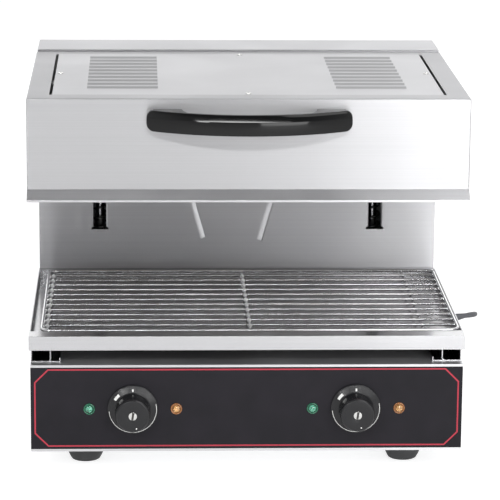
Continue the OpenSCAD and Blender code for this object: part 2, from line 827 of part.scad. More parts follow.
module rear_cover() {
    color("silver") difference() {
        block([-column_x, y_rear - sheet, z_deck], [column_x, y_rear, z_cap]);
        for (s = [-1, 1]) for (k = [0 : cover_rows - 1])
            block([s * 150 - vent_l / 2, y_rear - sheet - 1, z_cap - 40 - k * vent_pitch],
                  [s * 150 + vent_l / 2, y_rear + 1, z_cap - 36 - k * vent_pitch]);
        for (p = rear_screw_spots())
            peg_y([p[0], y_rear - sheet - 1, p[1]], screw_d + 2 * screw_gap, sheet + 2);
    }
}

module rear_screws() {
    color("gray") for (p = rear_screw_spots()) {
        peg_y([p[0], y_rear, p[1]], screw_head_d, screw_head_h);
        peg_y([p[0], y_rear - 2 * sheet - 3, p[1]], screw_d, 2 * sheet + 3 + eps);
    }
}

module bracket(z_plate, z_low) {
    x = column_x - sheet;
    color("darkgray") difference() {
        union() {
            block([-x, carriage_y - bracket_w / 2, z_plate], [x, carriage_y + bracket_w / 2, z_plate + bracket_t]);
            for (e = [-1, 1])
                block([-x, carriage_y + e * (bracket_w - bracket_t) / 2 - bracket_t / 2, z_low],
                      [x, carriage_y + e * (bracket_w - bracket_t) / 2 + bracket_t / 2, z_low + bracket_h]);
        }
        both_sides() peg([slot_x, carriage_y, z_plate - 1], rod_hole_d, bracket_t + 2);
    }
}

module lower_bracket() bracket(z_deck + bracket_h - bracket_t, z_deck);
module upper_bracket() bracket(z_cap - bracket_h, z_cap - bracket_h);

module guide_rod(s) {
    color("whitesmoke")
        peg([s * slot_x, carriage_y, z_deck], rod_d, z_cap - bracket_h + bracket_t - z_deck);
}

module guide_rod_left() guide_rod(-1);
module guide_rod_right() guide_rod(1);

module spring(s) {
    steps = 12;
    count = spring_turns * steps;
    rise = spring_l - spring_wire;
    path = [for (i = [0 : count]) [
        s * slot_x + spring_r * cos(360 * i / steps),
        carriage_y + spring_r * sin(360 * i / steps),
        z_spring + spring_wire / 2 + rise * i / count]];
    color("darkgray") tube(path, spring_wire / 2, 6);
}

module spring_left() spring(-1);
module spring_right() spring(1);

// ---- carriages and arms of the hood ----

module arm(s) {
    x = s * slot_x;
    back = carriage_y - carriage_d / 2;
    color("dimgray") {
        block([x - arm_t / 2, y_hood - sheet - arm_foot[1], z_arm], [x + arm_t / 2, back, z_arm + arm_h]);
        block([x - arm_foot[0] / 2, y_hood - sheet - arm_foot[1], z_arm],
              [x + arm_foot[0] / 2, y_hood - sheet, z_arm + arm_foot[2]]);
    }
}

module arm_left() arm(-1);
module arm_right() arm(1);

module carriage(s) {
    x = s * slot_x;
    color("gray") difference() {
        block([x - carriage_w / 2, carriage_y - carriage_d / 2, z_carriage],
              [x + carriage_w / 2, carriage_y + carriage_d / 2, z_carriage + carriage_h]);
        peg([x, carriage_y, z_carriage - 1], bush_out + 2 * pin_gap, carriage_h + 2);
    }
}

module carriage_left() carriage(-1);
module carriage_right() carriage(1);

module carriage_bushes() {
    color("goldenrod") for (s = [-1, 1]) for (z = [z_carriage, z_carriage + carriage_h - bush_len])
        difference() {
            peg([s * slot_x, carriage_y, z], bush_out, bush_len);
            peg([s * slot_x, carriage_y, z - 1], rod_hole_d, bush_len + 2);
        }
}

// ---- hood ----

module hood_shell() {
    mid_y = (y_cover0 + y_cover1) / 2;
    color("silver") difference() {
        union() {
            difference() {
                bent_box([-half_w, y_front, z_seam], [half_w, y_hood, z_hood], sheet + bend_in);
                bent_box([-half_w + sheet, y_front + sheet, z_seam - 1],
                         [half_w - sheet, y_hood - sheet, z_hood - sheet], bend_in);
                block([-opening_x, y_cover0, z_hood - 2 * sheet], [opening_x, y_cover1, z_hood + 1]);
            }
            for (y = [y_cover0 - 6, y_cover1 + 6 - cover_ledge - 6])
                block([-cover_x, y, z_hood - 2 * sheet], [cover_x, y + cover_ledge + 6, z_hood - sheet]);
            both_sides() along_y(mid_y - tab_w / 2, mid_y + tab_w / 2) {
                translate([cover_x - tab_w, z_hood - 2 * sheet]) square([tab_w - 2, sheet]);
                translate([cover_x - 2 - sheet, z_hood - tab_drop]) square([sheet, tab_drop - sheet]);
                translate([cover_x - 2 - sheet, z_hood - tab_drop])
                    square([opening_x - cover_x + 4 + 2 * sheet, sheet]);
                translate([opening_x + 2, z_hood - tab_drop]) square([sheet, tab_drop - sheet / 2]);
            }
        }
        for (p = cover_screw_spots())
            peg([p[0], p[1], z_hood - 3 * sheet], screw_d + 2 * screw_gap, 4 * sheet);
        both_sides() {
            block([slot_x - arm_t / 2 - 0.5, y_hood - sheet - 1, z_arm - 0.5],
                  [slot_x + arm_t / 2 + 0.5, y_hood + 1, z_arm + arm_h + 0.5]);
            peg_y([handle_pad_x, y_front - 1, z_handle], handle_screw_d + 2 * screw_gap, sheet + 2);
        }
    }
}

// The rim hangs below the casing on a tongue that laps inside it
module hood_rim() {
    t = sheet;
    hem = 3;
    slope = t * sqrt(2);
    inset = rim_step + t;
    color("gainsboro") {
        along_x(-half_w, half_w) polygon([
            [y_front, z_rim_top], [y_front - rim_flare, z_rim + hem], [y_front - rim_flare, z_rim],
            [y_front - rim_flare + rim_return, z_rim], [y_front - rim_flare + rim_return, z_rim + t],
            [y_front - rim_flare + t, z_rim + t], [y_front - rim_flare + t, z_rim + hem],
            [y_front + slope, z_rim_top - t], [y_front + inset, z_rim_top - t],
            [y_front + inset, z_rim_top]]);
        difference() {
            union() {
                block([-half_w, y_front + t, z_rim], [half_w, y_hood, z_rim_top]);
                block([-half_w + rim_step, y_front + rim_step, z_rim_top - t],
                      [half_w - rim_step, y_hood - rim_step, z_seam + rim_lap]);
            }
            block([-half_w + t, y_front, z_rim + t], [half_w - t, y_hood - t, z_rim_top - t]);
            block([-half_w + rim_return, y_front, z_rim - 1],
                  [half_w - rim_return, y_hood - rim_return, z_rim + 2 * t]);
            block([-half_w + inset, y_front + inset, z_rim_top - 2 * t],
                  [half_w - inset, y_hood - inset, z_seam + rim_lap + 1]);
        }
        both_sides() along_x(half_w - t, half_w) polygon([
            [y_front + 2 * t, z_rim_top], [y_front, z_rim_top], [y_front - rim_flare, z_rim + hem],
            [y_front - rim_flare, z_rim], [y_front + 2 * t, z_rim]]);
    }
}

function cover_screw_spots() = [
    [0, cover_screws_y0], [0, cover_screws_y1],
    [-(cover_x - 7), (y_cover0 + y_cover1) / 2], [cover_x - 7, (y_cover0 + y_cover1) / 2]];

// A pressed louvre: its back swells out of the sheet and levels off at the open edge
module louvre(x, y) {
    t = louvre_skin;
    back = [for (u = [0 : 0.2 : 1]) [t + (louvre_d - t) * u, louvre_rise * u * u * (3 - 2 * u)]];
    belly = [for (u = [1 : -0.2 : 0]) [(louvre_d) * u, (louvre_rise - t + 0.4) * u * u * (3 - 2 * u) - 0.4]];
    translate([x - louvre_l / 2, y, z_hood]) {
        along_x(0, louvre_l) polygon(concat([[0, 0]], back, belly));
        for (e = [0, louvre_l - t])
            along_x(e, e + t) polygon(concat([[0, 0]], back, [[louvre_d, -0.4], [0, -0.4]]));
    }
}

module vent_cover() {
    color("lightgray") {
        difference() {
            block([-cover_x, y_cover0 + 0.2, z_hood - sheet], [cover_x, y_cover1 - 0.2, z_hood]);
            for (s = [-1, 1]) for (k = [0 : louvre_n - 1])
                block([s * louvre_x - louvre_l / 2 + 1, louvre_y0 + k * louvre_pitch + louvre_d - louvre_slot,
                       z_hood - sheet - 1],
                      [s * louvre_x + louvre_l / 2 - 1, louvre_y0 + k * louvre_pitch + louvre_d, z_hood + 1]);
            for (p = cover_screw_spots())
                peg([p[0], p[1], z_hood - sheet - 1], screw_d + 2 * screw_gap, sheet + 2);
        }
        for (s = [-1, 1]) for (k = [0 : louvre_n - 1])
            louvre(s * louvre_x, louvre_y0 + k * louvre_pitch);
    }
}

module cover_screws() {
    color("gray") for (p = cover_screw_spots()) {
        peg([p[0], p[1], z_hood], screw_head_d, screw_head_h);
        peg([p[0], p[1], z_hood - 2 * sheet - 3], screw_d, 2 * sheet + 3 + eps);
    }
}

// ---- heating ----

module reflector() {
    z1 = z_reflector;
    z0 = z1 - reflector_skirt;
    t = reflector_t;
    lean = reflector_lean;
    color("whitesmoke") difference() {
        union() {
            along_x(-reflector_x, reflector_x) polygon([
                [reflector_y0, z0], [reflector_y0 + lean, z1 + t], [reflector_y1 - lean, z1 + t],
                [reflector_y1, z0], [reflector_y1 - t, z0], [reflector_y1 - lean - t, z1],
                [reflector_y0 + lean + t, z1], [reflector_y0 + t, z0]]);
            for (s = [-1, 1])
                along_x(s * (reflector_x - t / 2) - t / 2, s * (reflector_x - t / 2) + t / 2) polygon([
                    [reflector_y0, z0], [reflector_y0 + lean, z1 + t],
                    [reflector_y1 - lean, z1 + t], [reflector_y1, z0]]);
            both_sides() block([reflector_x - t, reflector_y0 + lean, z0],
                               [half_w - sheet, reflector_y1 - lean, z0 + t]);
        }
        for (s = [-1, 1]) for (k = [0, element_passes - 1])
            peg([s * element_tail_x, element_y0 + k * element_pitch, z1 - 1], element_d + 1, t + 2);
    }
}

// One serpentine element: straight passes joined by half rings, with two upturned tails
module element(s) {
    half = element_pitch / 2;
    last = element_passes - 1;
    color([0.45, 0.42, 0.4]) mirror([s < 0 ? 1 : 0, 0, 0]) translate([0, element_y0, z_element]) {
        for (k = [0 : last]) {
            outer = (k == 0 || k == last) ? element_tail_x - tail_bend : element_out;
            peg_x([element_in + half, k * element_pitch, 0], element_d, outer - element_in - half);
        }
        for (k = [0 : 2 : last])
            translate([element_in + half, k * element_pitch + half, 0]) bend(half, element_d, 90, 270);
        for (k = [1 : 2 : last - 1])
            translate([element_out, k * element_pitch + half, 0]) bend(half, element_d, -90, 90);
        for (k = [0, last]) translate([element_tail_x - tail_bend, k * element_pitch, tail_bend]) {
            rotate([90, 0, 0]) bend(tail_bend, element_d, -90, 0);
            translate([tail_bend, 0, 0]) cylinder(d = element_d, h = reflector_rise - tail_bend + tail_rise);
            translate([tail_bend, 0, 0]) cylinder(d = stud_d, h = reflector_rise - tail_bend + stud_rise);
        }
    }
}

module element_left() element(-1);
module element_right() element(1);

module element_hangers() {
    past = element_d / 2 + hanger_gap + hanger_d / 2;
    y0 = element_y0 - past;
    y1 = element_y0 + element_pitch * (element_passes - 1) + past;
    color("silver") for (s = [-1, 1]) for (x = [element_in + hanger_in, element_out - hanger_out]) {
        peg_y([s * x, y0, z_hanger], hanger_d, y1 - y0);
        for (y = [y0, y1]) {
            translate([s * x, y, z_hanger]) sphere(d = hanger_d, $fn = 24);
            peg([s * x, y, z_hanger], hanger_d, z_reflector - z_hanger);
        }
    }
}

module sensor_bulbs() {
    z = z_reflector - bulb_drop;
    y = (reflector_y0 + reflector_y1) / 2;
    color("tan") for (s = [-1, 1]) {
        mid = s * (element_in + element_out) / 2;
        peg_x([mid - bulb_l / 2, y, z], bulb_d, bulb_l);
        for (e = [-1, 1])
            block([mid + e * clip_x - clip_w / 2, y - clip_t / 2, z],
                  [mid + e * clip_x + clip_w / 2, y + clip_t / 2, z_reflector]);
    }
}

// ---- handle ----

module rounded(w, h, r) {
    square([w - 2 * r, h], center = true);
    square([w, h - 2 * r], center = true);
    for (x = [-1, 1]) for (y = [-1, 1])
        translate([x * (w / 2 - r), y * (h / 2 - r)]) circle(r = r, $fn = 32);
}

// Distance from the hood to the back of the bow at a place along X
function bow_back(x) =
    let (deep = sqrt(bow_r * bow_r - x * x))
    max(handle_reach - bow_r + deep - handle_t * bow_r / deep, 0);

module hood_handle() {
    arc_y = y_front - handle_reach + bow_r;
    inner = handle_pad_x - handle_pad_w / 2;
    outer = handle_pad_x + handle_pad_w / 2;
    deep = bow_back(inner - handle_flare) + handle_bite;
    color([0.12, 0.12, 0.13]) difference() {
        union() {
            intersection() {
                translate([0, arc_y, z_handle]) rotate_extrude($fn = 180)
                    translate([bow_r - handle_t / 2, 0]) rounded(handle_t, handle_h, handle_edge);
                translate([0, y_front, z_handle]) rotate([90, 0, 0]) linear_extrude(handle_reach + 1)
                    rounded(handle_l, handle_h, 10);
            }
            both_sides() translate([0, 0, z_handle - handle_h / 2 + 1]) linear_extrude(handle_h - 2)
                polygon(concat(
                    [for (t = [0 : 0.125 : 1]) [inner - handle_flare * t * t, y_front - deep * t]],
                    [for (x = [inner : 5 : outer]) [x, y_front - bow_back(x) - handle_bite]],
                    [[outer, y_front - bow_back(outer) - handle_bite], [outer, y_front]]));
        }
        both_sides() peg_y([handle_pad_x, y_front - handle_screw_l - 0.5, z_handle],
                           handle_screw_d + 2 * pin_gap, handle_screw_l + 1.5);
    }
}

module handle_screws() {
    color("gray") for (s = [-1, 1]) {
        peg_y([s * handle_pad_x, y_front - handle_screw_l, z_handle], handle_screw_d,
              handle_screw_l + sheet + eps);
        peg_y([s * handle_pad_x, y_front + sheet, z_handle], washer_d, washer_t);
    }
}

base_shell();
bottom_plate();
bottom_screws();
control_panel();
foot_front_left();
foot_front_right();
foot_rear_left();
foot_rear_right();
foot_bolts();
thermostat_left();
thermostat_right();
thermostat_nuts();
spindle_left();
spindle_right();
knob_left();
knob_right();
knob_screw_left();
knob_screw_right();
lamp_green_left();
lamp_amber_left();
lamp_green_right();
lamp_amber_right();
terminal_block();
cable_gland();
mains_cord();
cord_coil();
mains_plug();
runner_left();
runner_right();
drip_tray();
wire_grid();
grid_frame();
column_side_left();
column_side_right();
column_panel();
column_top();
rear_cover();
rear_screws();
lower_bracket();
upper_bracket();
guide_rod_left();
guide_rod_right();
spring_left();
spring_right();
arm_left();
arm_right();
carriage_left();
carriage_right();
carriage_bushes();
hood_shell();
hood_rim();
vent_cover();
cover_screws();
reflector();
element_left();
element_right();
element_hangers();
sensor_bulbs();
hood_handle();
handle_screws();
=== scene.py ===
"""Dresses a lift salamander grill: a heated hood that slides on a rear column above a wire
grid, a drip tray and a control box on rubber feet. Lengths are in millimetres up to the
moment a mesh is made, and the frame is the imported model's: +X right, -Y to the user, +Z up."""

from __future__ import annotations

import logging
import math
from dataclasses import dataclass, field
from enum import Enum
from functools import reduce
from typing import ClassVar, Iterable, Sequence

import bmesh
import bpy
import numpy as np
from mathutils import Matrix, Vector


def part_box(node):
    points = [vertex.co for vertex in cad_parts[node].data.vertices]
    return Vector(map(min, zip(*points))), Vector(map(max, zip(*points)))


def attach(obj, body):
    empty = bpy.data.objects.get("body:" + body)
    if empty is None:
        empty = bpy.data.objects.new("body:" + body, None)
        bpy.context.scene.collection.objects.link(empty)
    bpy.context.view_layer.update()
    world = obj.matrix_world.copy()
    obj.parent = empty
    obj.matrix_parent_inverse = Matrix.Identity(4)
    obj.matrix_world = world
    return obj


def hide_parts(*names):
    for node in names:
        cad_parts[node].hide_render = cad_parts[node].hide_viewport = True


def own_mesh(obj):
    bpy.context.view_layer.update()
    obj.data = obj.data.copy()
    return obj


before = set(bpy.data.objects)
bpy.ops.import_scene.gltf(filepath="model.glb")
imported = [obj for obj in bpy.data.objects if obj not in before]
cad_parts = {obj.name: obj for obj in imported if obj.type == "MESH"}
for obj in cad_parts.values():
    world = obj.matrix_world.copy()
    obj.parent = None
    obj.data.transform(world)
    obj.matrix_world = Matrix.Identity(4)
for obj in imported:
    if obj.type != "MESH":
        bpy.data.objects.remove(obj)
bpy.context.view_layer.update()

MM = 0.001
LOG = logging.getLogger("salamander")

Array = np.ndarray
Colour = tuple[float, float, float, float]
Point = tuple[float, float, float]
Node = bpy.types.Node
Socket = bpy.types.NodeSocket
Tree = bpy.types.NodeTree


class Body(Enum):
    """The moving bodies of the appliance."""

    BASE = "base"
    HOOD = "hood"
    KNOB_LEFT = "knob_left"
    KNOB_RIGHT = "knob_right"
    TRAY = "tray"
    GRID = "grid"


class Slot(Enum):
    """The record's material slots, named where some pieces are made; no piece is given one."""

    STEEL = "brushed_steel"
    GALVANISED = "galvanised_steel"
    ZINC = "zinc_steel"
    FASCIA = "black_fascia"
    FOOT = "foot_rubber"
    KNOB = "knob_plastic"
    GREEN = "green_lens"
    AMBER = "amber_lens"
    GLAND = "gland_plastic"
    CORD = "cord_rubber"
    WIRE = "chromed_wire"
    SPRING = "spring_steel"
    REFLECTOR = "reflector_sheet"
    HANDLE = "handle_plastic"


class Grain(Enum):
    """Which way a brushed sheet was drawn under the belt: the number of that axis."""

    ACROSS = 0
    DEPTH = 1


# ---- colours and nodes ----


def linear(code: str) -> Colour:
    """Turns an sRGB hex colour into linear RGBA.

    Args:
        code: six hex digits, such as "c8c8ca".

    Returns:
        The four linear values, with alpha 1.
    """
    parts = [int(code[i : i + 2], 16) / 255 for i in (0, 2, 4)]
    r, g, b = (c / 12.92 if c <= 0.04045 else ((c + 0.055) / 1.055) ** 2.4 for c in parts)
    return (r, g, b, 1.0)


def shaded(code: str, *shares: float, lift: float = 0.0) -> Colour:
    """Makes a colour darker or lighter.

    Each linear part is multiplied by its share and raised by the lift, and stays at 1 or less.

    Args:
        code: six hex digits.
        shares: one share for all three parts, or one for each.
        lift: what is added to each part.

    Returns:
        The linear colour.
    """
    r, g, b = np.minimum(np.array(linear(code)[:3]) * shares + lift, 1.0).tolist()
    return (r, g, b, 1.0)


def grey(value: float) -> Colour:
    """A linear grey."""
    return (value, value, value, 1.0)


def fill(node: Node, inputs: dict[str | int, object]) -> None:
    """Fills a node's inputs, each with a value or with a link.

    Args:
        node: the node.
        inputs: input name or number to a value, or to the output socket that feeds it.
    """
    for key, value in inputs.items():
        if isinstance(value, Socket):
            node.id_data.links.new(value, node.inputs[key])
        else:
            node.inputs[key].default_value = value


def add(
    tree: Tree,
    kind: str,
    inputs: dict[str | int, object] | None = None,
    stops: Sequence[tuple[float, Colour]] = (),
    **settings: object,
) -> Node:
    """Adds one node, sets its properties, and fills or links its inputs.

    Args:
        tree: the node tree that gets the node.
        kind: the node's type name, such as "ShaderNodeMath".
        inputs: input name or number to a value, or to the output socket that feeds it.
        stops: a colour ramp's pairs of place and colour, in order.
        settings: properties of the node itself.

    Returns:
        The new node.
    """
    node = tree.nodes.new(kind)
    for key, value in settings.items():
        setattr(node, key, value)
    fill(node, inputs or {})
    if stops:
        bands = node.color_ramp.elements
        while len(bands) < len(stops):
            bands.new(0.5)
        for band, (place, colour) in zip(bands, stops):
            band.position, band.color = place, colour
    return node


# ---- finishes ----


@dataclass(frozen=True)
class Finish:
    """A surface finish. Each kind of finish draws a pattern of its own.

    Attributes:
        name: what a maker calls it.
        colour: sRGB hex of the surface.
        roughness: its middle roughness, 0 to 1.
    """

    name: str
    colour: str
    roughness: float

    def material(self) -> bpy.types.Material:
        """Makes the material once and gives the same one after that.

        Returns:
            The material.
        """
        found = bpy.data.materials.get(self.name)
        if found:
            return found
        made = bpy.data.materials.new(self.name)
        made.use_nodes = True
        made.diffuse_color = linear(self.colour)
        tree = made.node_tree
        tree.nodes.clear()
        shader = add(tree, "ShaderNodeBsdfPrincipled")
        fill(shader, {"Base Color": linear(self.colour), "Roughness": self.roughness})
        self.draw(tree, shader, add(tree, "ShaderNodeTexCoord").outputs["Object"])
        add(tree, "ShaderNodeOutputMaterial", {"Surface": shader.outputs[0]})
        return made

    def draw(self, tree: Tree, shader: Node, place: Socket) -> None:
        """Adds the pattern.

        Args:
            tree: the material's tree.
            shader: its Principled shader.
            place: the Object coordinate, in metres.
        """
        raise NotImplementedError

    def gloss(self, tree: Tree, value: Socket, share: float) -> Socket:
        """Moves the roughness with a pattern.

        Where the pattern goes from 0.3 to 0.7, the roughness goes from its middle times
        (1 - share) to its middle times (1 + share), and stays at 1 or less.

        Args:
            tree: the material's tree.
            value: the pattern, about 0 to 1.
            share: how far the roughness moves either way.

        Returns:
            The roughness.
        """
        low, high = self.roughness * (1 - share), min(1.0, self.roughness * (1 + share))
        span = {0: value, 1: 0.3, 2: 0.7, 3: low, 4: high}
        return add(tree, "ShaderNodeMapRange", span).outputs[0]

    def mottle(self, tree: Tree, shader: Node, place: Socket, cells: float, depth: float) -> Socket:
        """Varies the colour and the roughness with soft noise.

        Args:
            tree: the material's tree.
            shader: its Principled shader.
            place: the coordinate that the noise follows.
            cells: noise cells in a metre.
            depth: how far the tone moves either way, as a share.

        Returns:
            The noise, for a bump on top.
        """
        spots = {"Vector": place, "Scale": cells, "Detail": 4.0}
        noise = add(tree, "ShaderNodeTexNoise", spots).outputs[0]
        stops = [(0.3, shaded(self.colour, 1 - depth)), (0.7, shaded(self.colour, 1 + depth))]
        tone = add(tree, "ShaderNodeValToRGB", {0: noise}, stops).outputs[0]
        fill(shader, {"Base Color": tone, "Roughness": self.gloss(tree, noise, 0.15)})
        return noise


@dataclass(frozen=True)
class BrushedSteel(Finish):
    """Stainless sheet drawn under an abrasive belt.

    The belt leaves fine parallel scratches, so that a highlight spreads across them and stays
    narrow along them. The scratches are 0.1 mm apart on the real sheet, and are drawn 1.2 mm
    apart so that they show.

    Attributes:
        grain: the way that the scratches run on faces that don't look along it.
        streak: how far the tone moves from one scratch to the next.
        smear: how far the gloss moves over a hand's width, from wiping.
        stretch: how much wider the highlight is across the scratches, 0 to 1.
        ACROSS_CELLS: noise cells in a metre across the scratches, 1.2 mm each.
        ALONG_CELLS: noise cells in a metre along them, which is the length of a scratch.
        WIPE_CELLS: wiping marks in a metre, a hand's width each.
        LOOKS_ALONG: a face whose normal lies nearer to the grain than this cosine is drawn
            with scratches along the other level axis.
        BITE: how far the roughness moves from one scratch to the next.
        DEEP_MM: depth of a scratch.
    """

    grain: Grain = Grain.ACROSS
    streak: float = 0.05
    smear: float = 0.10
    stretch: float = 0.92
    ACROSS_CELLS: ClassVar[float] = 820.0
    ALONG_CELLS: ClassVar[float] = 1.5
    WIPE_CELLS: ClassVar[float] = 7.0
    LOOKS_ALONG: ClassVar[float] = 0.6
    BITE: ClassVar[float] = 0.04
    DEEP_MM: ClassVar[float] = 0.012

    def draw(self, tree: Tree, shader: Node, place: Socket) -> None:
        """Draws the scratches, the wiping marks and the stretched highlight.

        The highlight's direction is the face's normal crossed with the direction of the
        scratches, so it lies in the sheet and straight across them.

        Args:
            tree: the material's tree.
            shader: its Principled shader.
            place: the Object coordinate, in metres.
        """
        first = self.grain.value
        axes = (first, 1 - first)
        runs = [tuple(float(k == axis) for k in range(3)) for axis in axes]
        cells = (self.ACROSS_CELLS, self.ALONG_CELLS)
        scales = [[cells[k == axis] for k in range(3)] for axis in axes]
        normal = add(tree, "ShaderNodeNewGeometry").outputs["Normal"]
        facing = add(tree, "ShaderNodeSeparateXYZ", {0: normal}).outputs[first]
        facing = add(tree, "ShaderNodeMath", {0: facing}, operation="ABSOLUTE").outputs[0]
        limit = {0: facing, 1: self.LOOKS_ALONG}
        turned = add(tree, "ShaderNodeMath", limit, operation="GREATER_THAN").outputs[0]
        plain, other = (
            add(tree, "ShaderNodeMapping", {"Vector": place, "Scale": scale}).outputs[0]
            for scale in scales
        )
        choice = {0: turned, 4: plain, 5: other}
        spot = add(tree, "ShaderNodeMix", choice, data_type="VECTOR").outputs[1]
        lines = {"Vector": spot, "Scale": 1.0, "Detail": 3.0, "Roughness": 0.65}
        scratch = add(tree, "ShaderNodeTexNoise", lines).outputs[0]
        marks = {"Vector": place, "Scale": self.WIPE_CELLS, "Detail": 3.0, "Distortion": 0.6}
        wipe = add(tree, "ShaderNodeTexNoise", marks).outputs[0]
        dark, pale = shaded(self.colour, 1 - self.streak), shaded(self.colour, 1 + self.streak)
        stops = [(0.25, dark), (0.75, pale)]
        tone = add(tree, "ShaderNodeValToRGB", {0: scratch}, stops).outputs[0]
        span = {0: scratch, 1: 0.2, 2: 0.8, 3: -self.BITE, 4: self.BITE}
        fine = add(tree, "ShaderNodeMapRange", span).outputs[0]
        both = {0: self.gloss(tree, wipe, self.smear), 1: fine}
        rough = add(tree, "ShaderNodeMath", both, operation="ADD", use_clamp=True).outputs[0]
        relief = {"Strength": 0.35, "Distance": self.DEEP_MM * MM, "Height": scratch}
        bump = add(tree, "ShaderNodeBump", relief)
        choice = {0: turned, 4: runs[0], 5: runs[1]}
        run = add(tree, "ShaderNodeMix", choice, data_type="VECTOR").outputs[1]
        across = add(tree, "ShaderNodeVectorMath", {0: normal, 1: run}, operation="CROSS_PRODUCT")
        fill(shader, {"Base Color": tone, "Roughness": rough, "Normal": bump.outputs[0]})
        fill(shader, {"Tangent": across.outputs[0], "Metallic": 1.0, "Anisotropic": self.stretch})


@dataclass(frozen=True)
class GalvanisedSheet(Finish):
    """Hot-dip zinc on steel: flat crystals, each with a tone and a gloss of its own.

    Attributes:
        CELLS: crystals in a metre, about 9 mm each.
    """

    CELLS: ClassVar[float] = 110.0

    def draw(self, tree: Tree, shader: Node, place: Socket) -> None:
        """Draws the crystals, which are the cells of a Voronoi pattern.

        Args:
            tree: the material's tree.
            shader: its Principled shader.
            place: the Object coordinate, in metres.
        """
        cell = add(tree, "ShaderNodeTexVoronoi", {"Vector": place, "Scale": self.CELLS})
        tone = add(tree, "ShaderNodeSeparateColor", {0: cell.outputs["Color"]}).outputs[0]
        stops = [(0, shaded(self.colour, 0.88, 0.88, 0.90)), (1, shaded(self.colour, 1.08))]
        colour = add(tree, "ShaderNodeValToRGB", {0: tone}, stops).outputs[0]
        span = {0: tone, 1: 0, 2: 1, 3: self.roughness * 0.8, 4: self.roughness * 1.2}
        rough = add(tree, "ShaderNodeMapRange", span).outputs[0]
        fill(shader, {"Base Color": colour, "Roughness": rough, "Metallic": 1.0})


@dataclass(frozen=True)
class PlatedMetal(Finish):
    """Bright plated or ground metal with a slight unevenness in its gloss.

    Attributes:
        cells: noise cells in a metre, such as 400 for 2.5 mm.
        depth: how far the tone moves either way.
        relief_mm: depth of the unevenness.
    """

    cells: float = 90.0
    depth: float = 0.06
    relief_mm: float = 0.01

    def draw(self, tree: Tree, shader: Node, place: Socket) -> None:
        """Draws the unevenness.

        Args:
            tree: the material's tree.
            shader: its Principled shader.
            place: the Object coordinate, in metres.
        """
        noise = self.mottle(tree, shader, place, self.cells, self.depth)
        relief = {"Strength": 0.5, "Distance": self.relief_mm * MM, "Height": noise}
        bump = add(tree, "ShaderNodeBump", relief)
        fill(shader, {"Normal": bump.outputs[0], "Metallic": 1.0})


@dataclass(frozen=True)
class HeatedMetal(Finish):
    """Metal that has been hot: its tone drifts from bare towards straw and blue-grey.

    Attributes:
        tint: sRGB hex of the hottest patches.
        metallic: how much of it still mirrors.
        PATCH_CELLS: heat patches in a metre, about 110 mm each.
        OXIDE_CELLS: oxide grains in a metre. The real ones are under 0.1 mm, drawn at 1.4 mm.
    """

    tint: str = "8a7a63"
    metallic: float = 1.0
    PATCH_CELLS: ClassVar[float] = 9.0
    OXIDE_CELLS: ClassVar[float] = 700.0

    def draw(self, tree: Tree, shader: Node, place: Socket) -> None:
        """Draws the heat tint over a fine oxide grain.

        Args:
            tree: the material's tree.
            shader: its Principled shader.
            place: the Object coordinate, in metres.
        """
        broad, grain = (
            add(tree, "ShaderNodeTexNoise", {"Vector": place, "Scale": cells, "Detail": fine})
            for cells, fine in ((self.PATCH_CELLS, 2.0), (self.OXIDE_CELLS, 3.0))
        )
        stops = [(0.35, linear(self.colour)), (0.72, linear(self.tint))]
        tone = add(tree, "ShaderNodeValToRGB", {0: broad.outputs[0]}, stops).outputs[0]
        relief = {"Strength": 0.4, "Distance": 0.02 * MM, "Height": grain.outputs[0]}
        bump = add(tree, "ShaderNodeBump", relief)
        fill(shader, {"Base Color": tone, "Roughness": self.gloss(tree, grain.outputs[0], 0.2)})
        fill(shader, {"Normal": bump.outputs[0], "Metallic": self.metallic})


@dataclass(frozen=True)
class MouldedPlastic(Finish):
    """Moulded plastic or rubber with the fine spark texture of its mould.

    Attributes:
        spark: texture cells in a metre. The real ones are about 0.15 mm, and they are drawn
            from 0.3 to 1.1 mm so that they show.
        relief_mm: depth of the texture.
        coat: clear gloss on top.
        coat_roughness: roughness of that gloss.
        clear: how far light passes into it, as on a lens.
        colour_depth: how far the tone moves either way.
        sheen: specular level, 0.5 for a clean moulding and less for a dusty or grained one.
        ior: refractive index, 1.49 for most plastics.
        FLOW_CELLS: soft patches in a metre, 22 mm each, where the plastic flowed.
    """

    spark: float = 3200.0
    relief_mm: float = 0.02
    coat: float = 0.0
    coat_roughness: float = 0.08
    clear: float = 0.0
    colour_depth: float = 0.06
    sheen: float = 0.5
    ior: float = 1.49
    FLOW_CELLS: ClassVar[float] = 45.0

    def draw(self, tree: Tree, shader: Node, place: Socket) -> None:
        """Draws the mould texture over the flow patches.

        Args:
            tree: the material's tree.
            shader: its Principled shader.
            place: the Object coordinate, in metres.
        """
        self.mottle(tree, shader, place, self.FLOW_CELLS, self.colour_depth)
        sparks = {"Vector": place, "Scale": self.spark, "Detail": 2.0}
        grain = add(tree, "ShaderNodeTexNoise", sparks).outputs[0]
        relief = {"Strength": 0.5, "Distance": self.relief_mm * MM, "Height": grain}
        bump = add(tree, "ShaderNodeBump", relief)
        fill(shader, {"Normal": bump.outputs[0], **self.body()})

    def body(self) -> dict[str, float]:
        """The shader's values that are the same all over the surface.

        Returns:
            Input name to value.
        """
        return {
            "Coat Weight": self.coat,
            "Coat Roughness": self.coat_roughness,
            "Transmission Weight": self.clear,
            "IOR": self.ior,
            "Specular IOR Level": self.sheen,
        }


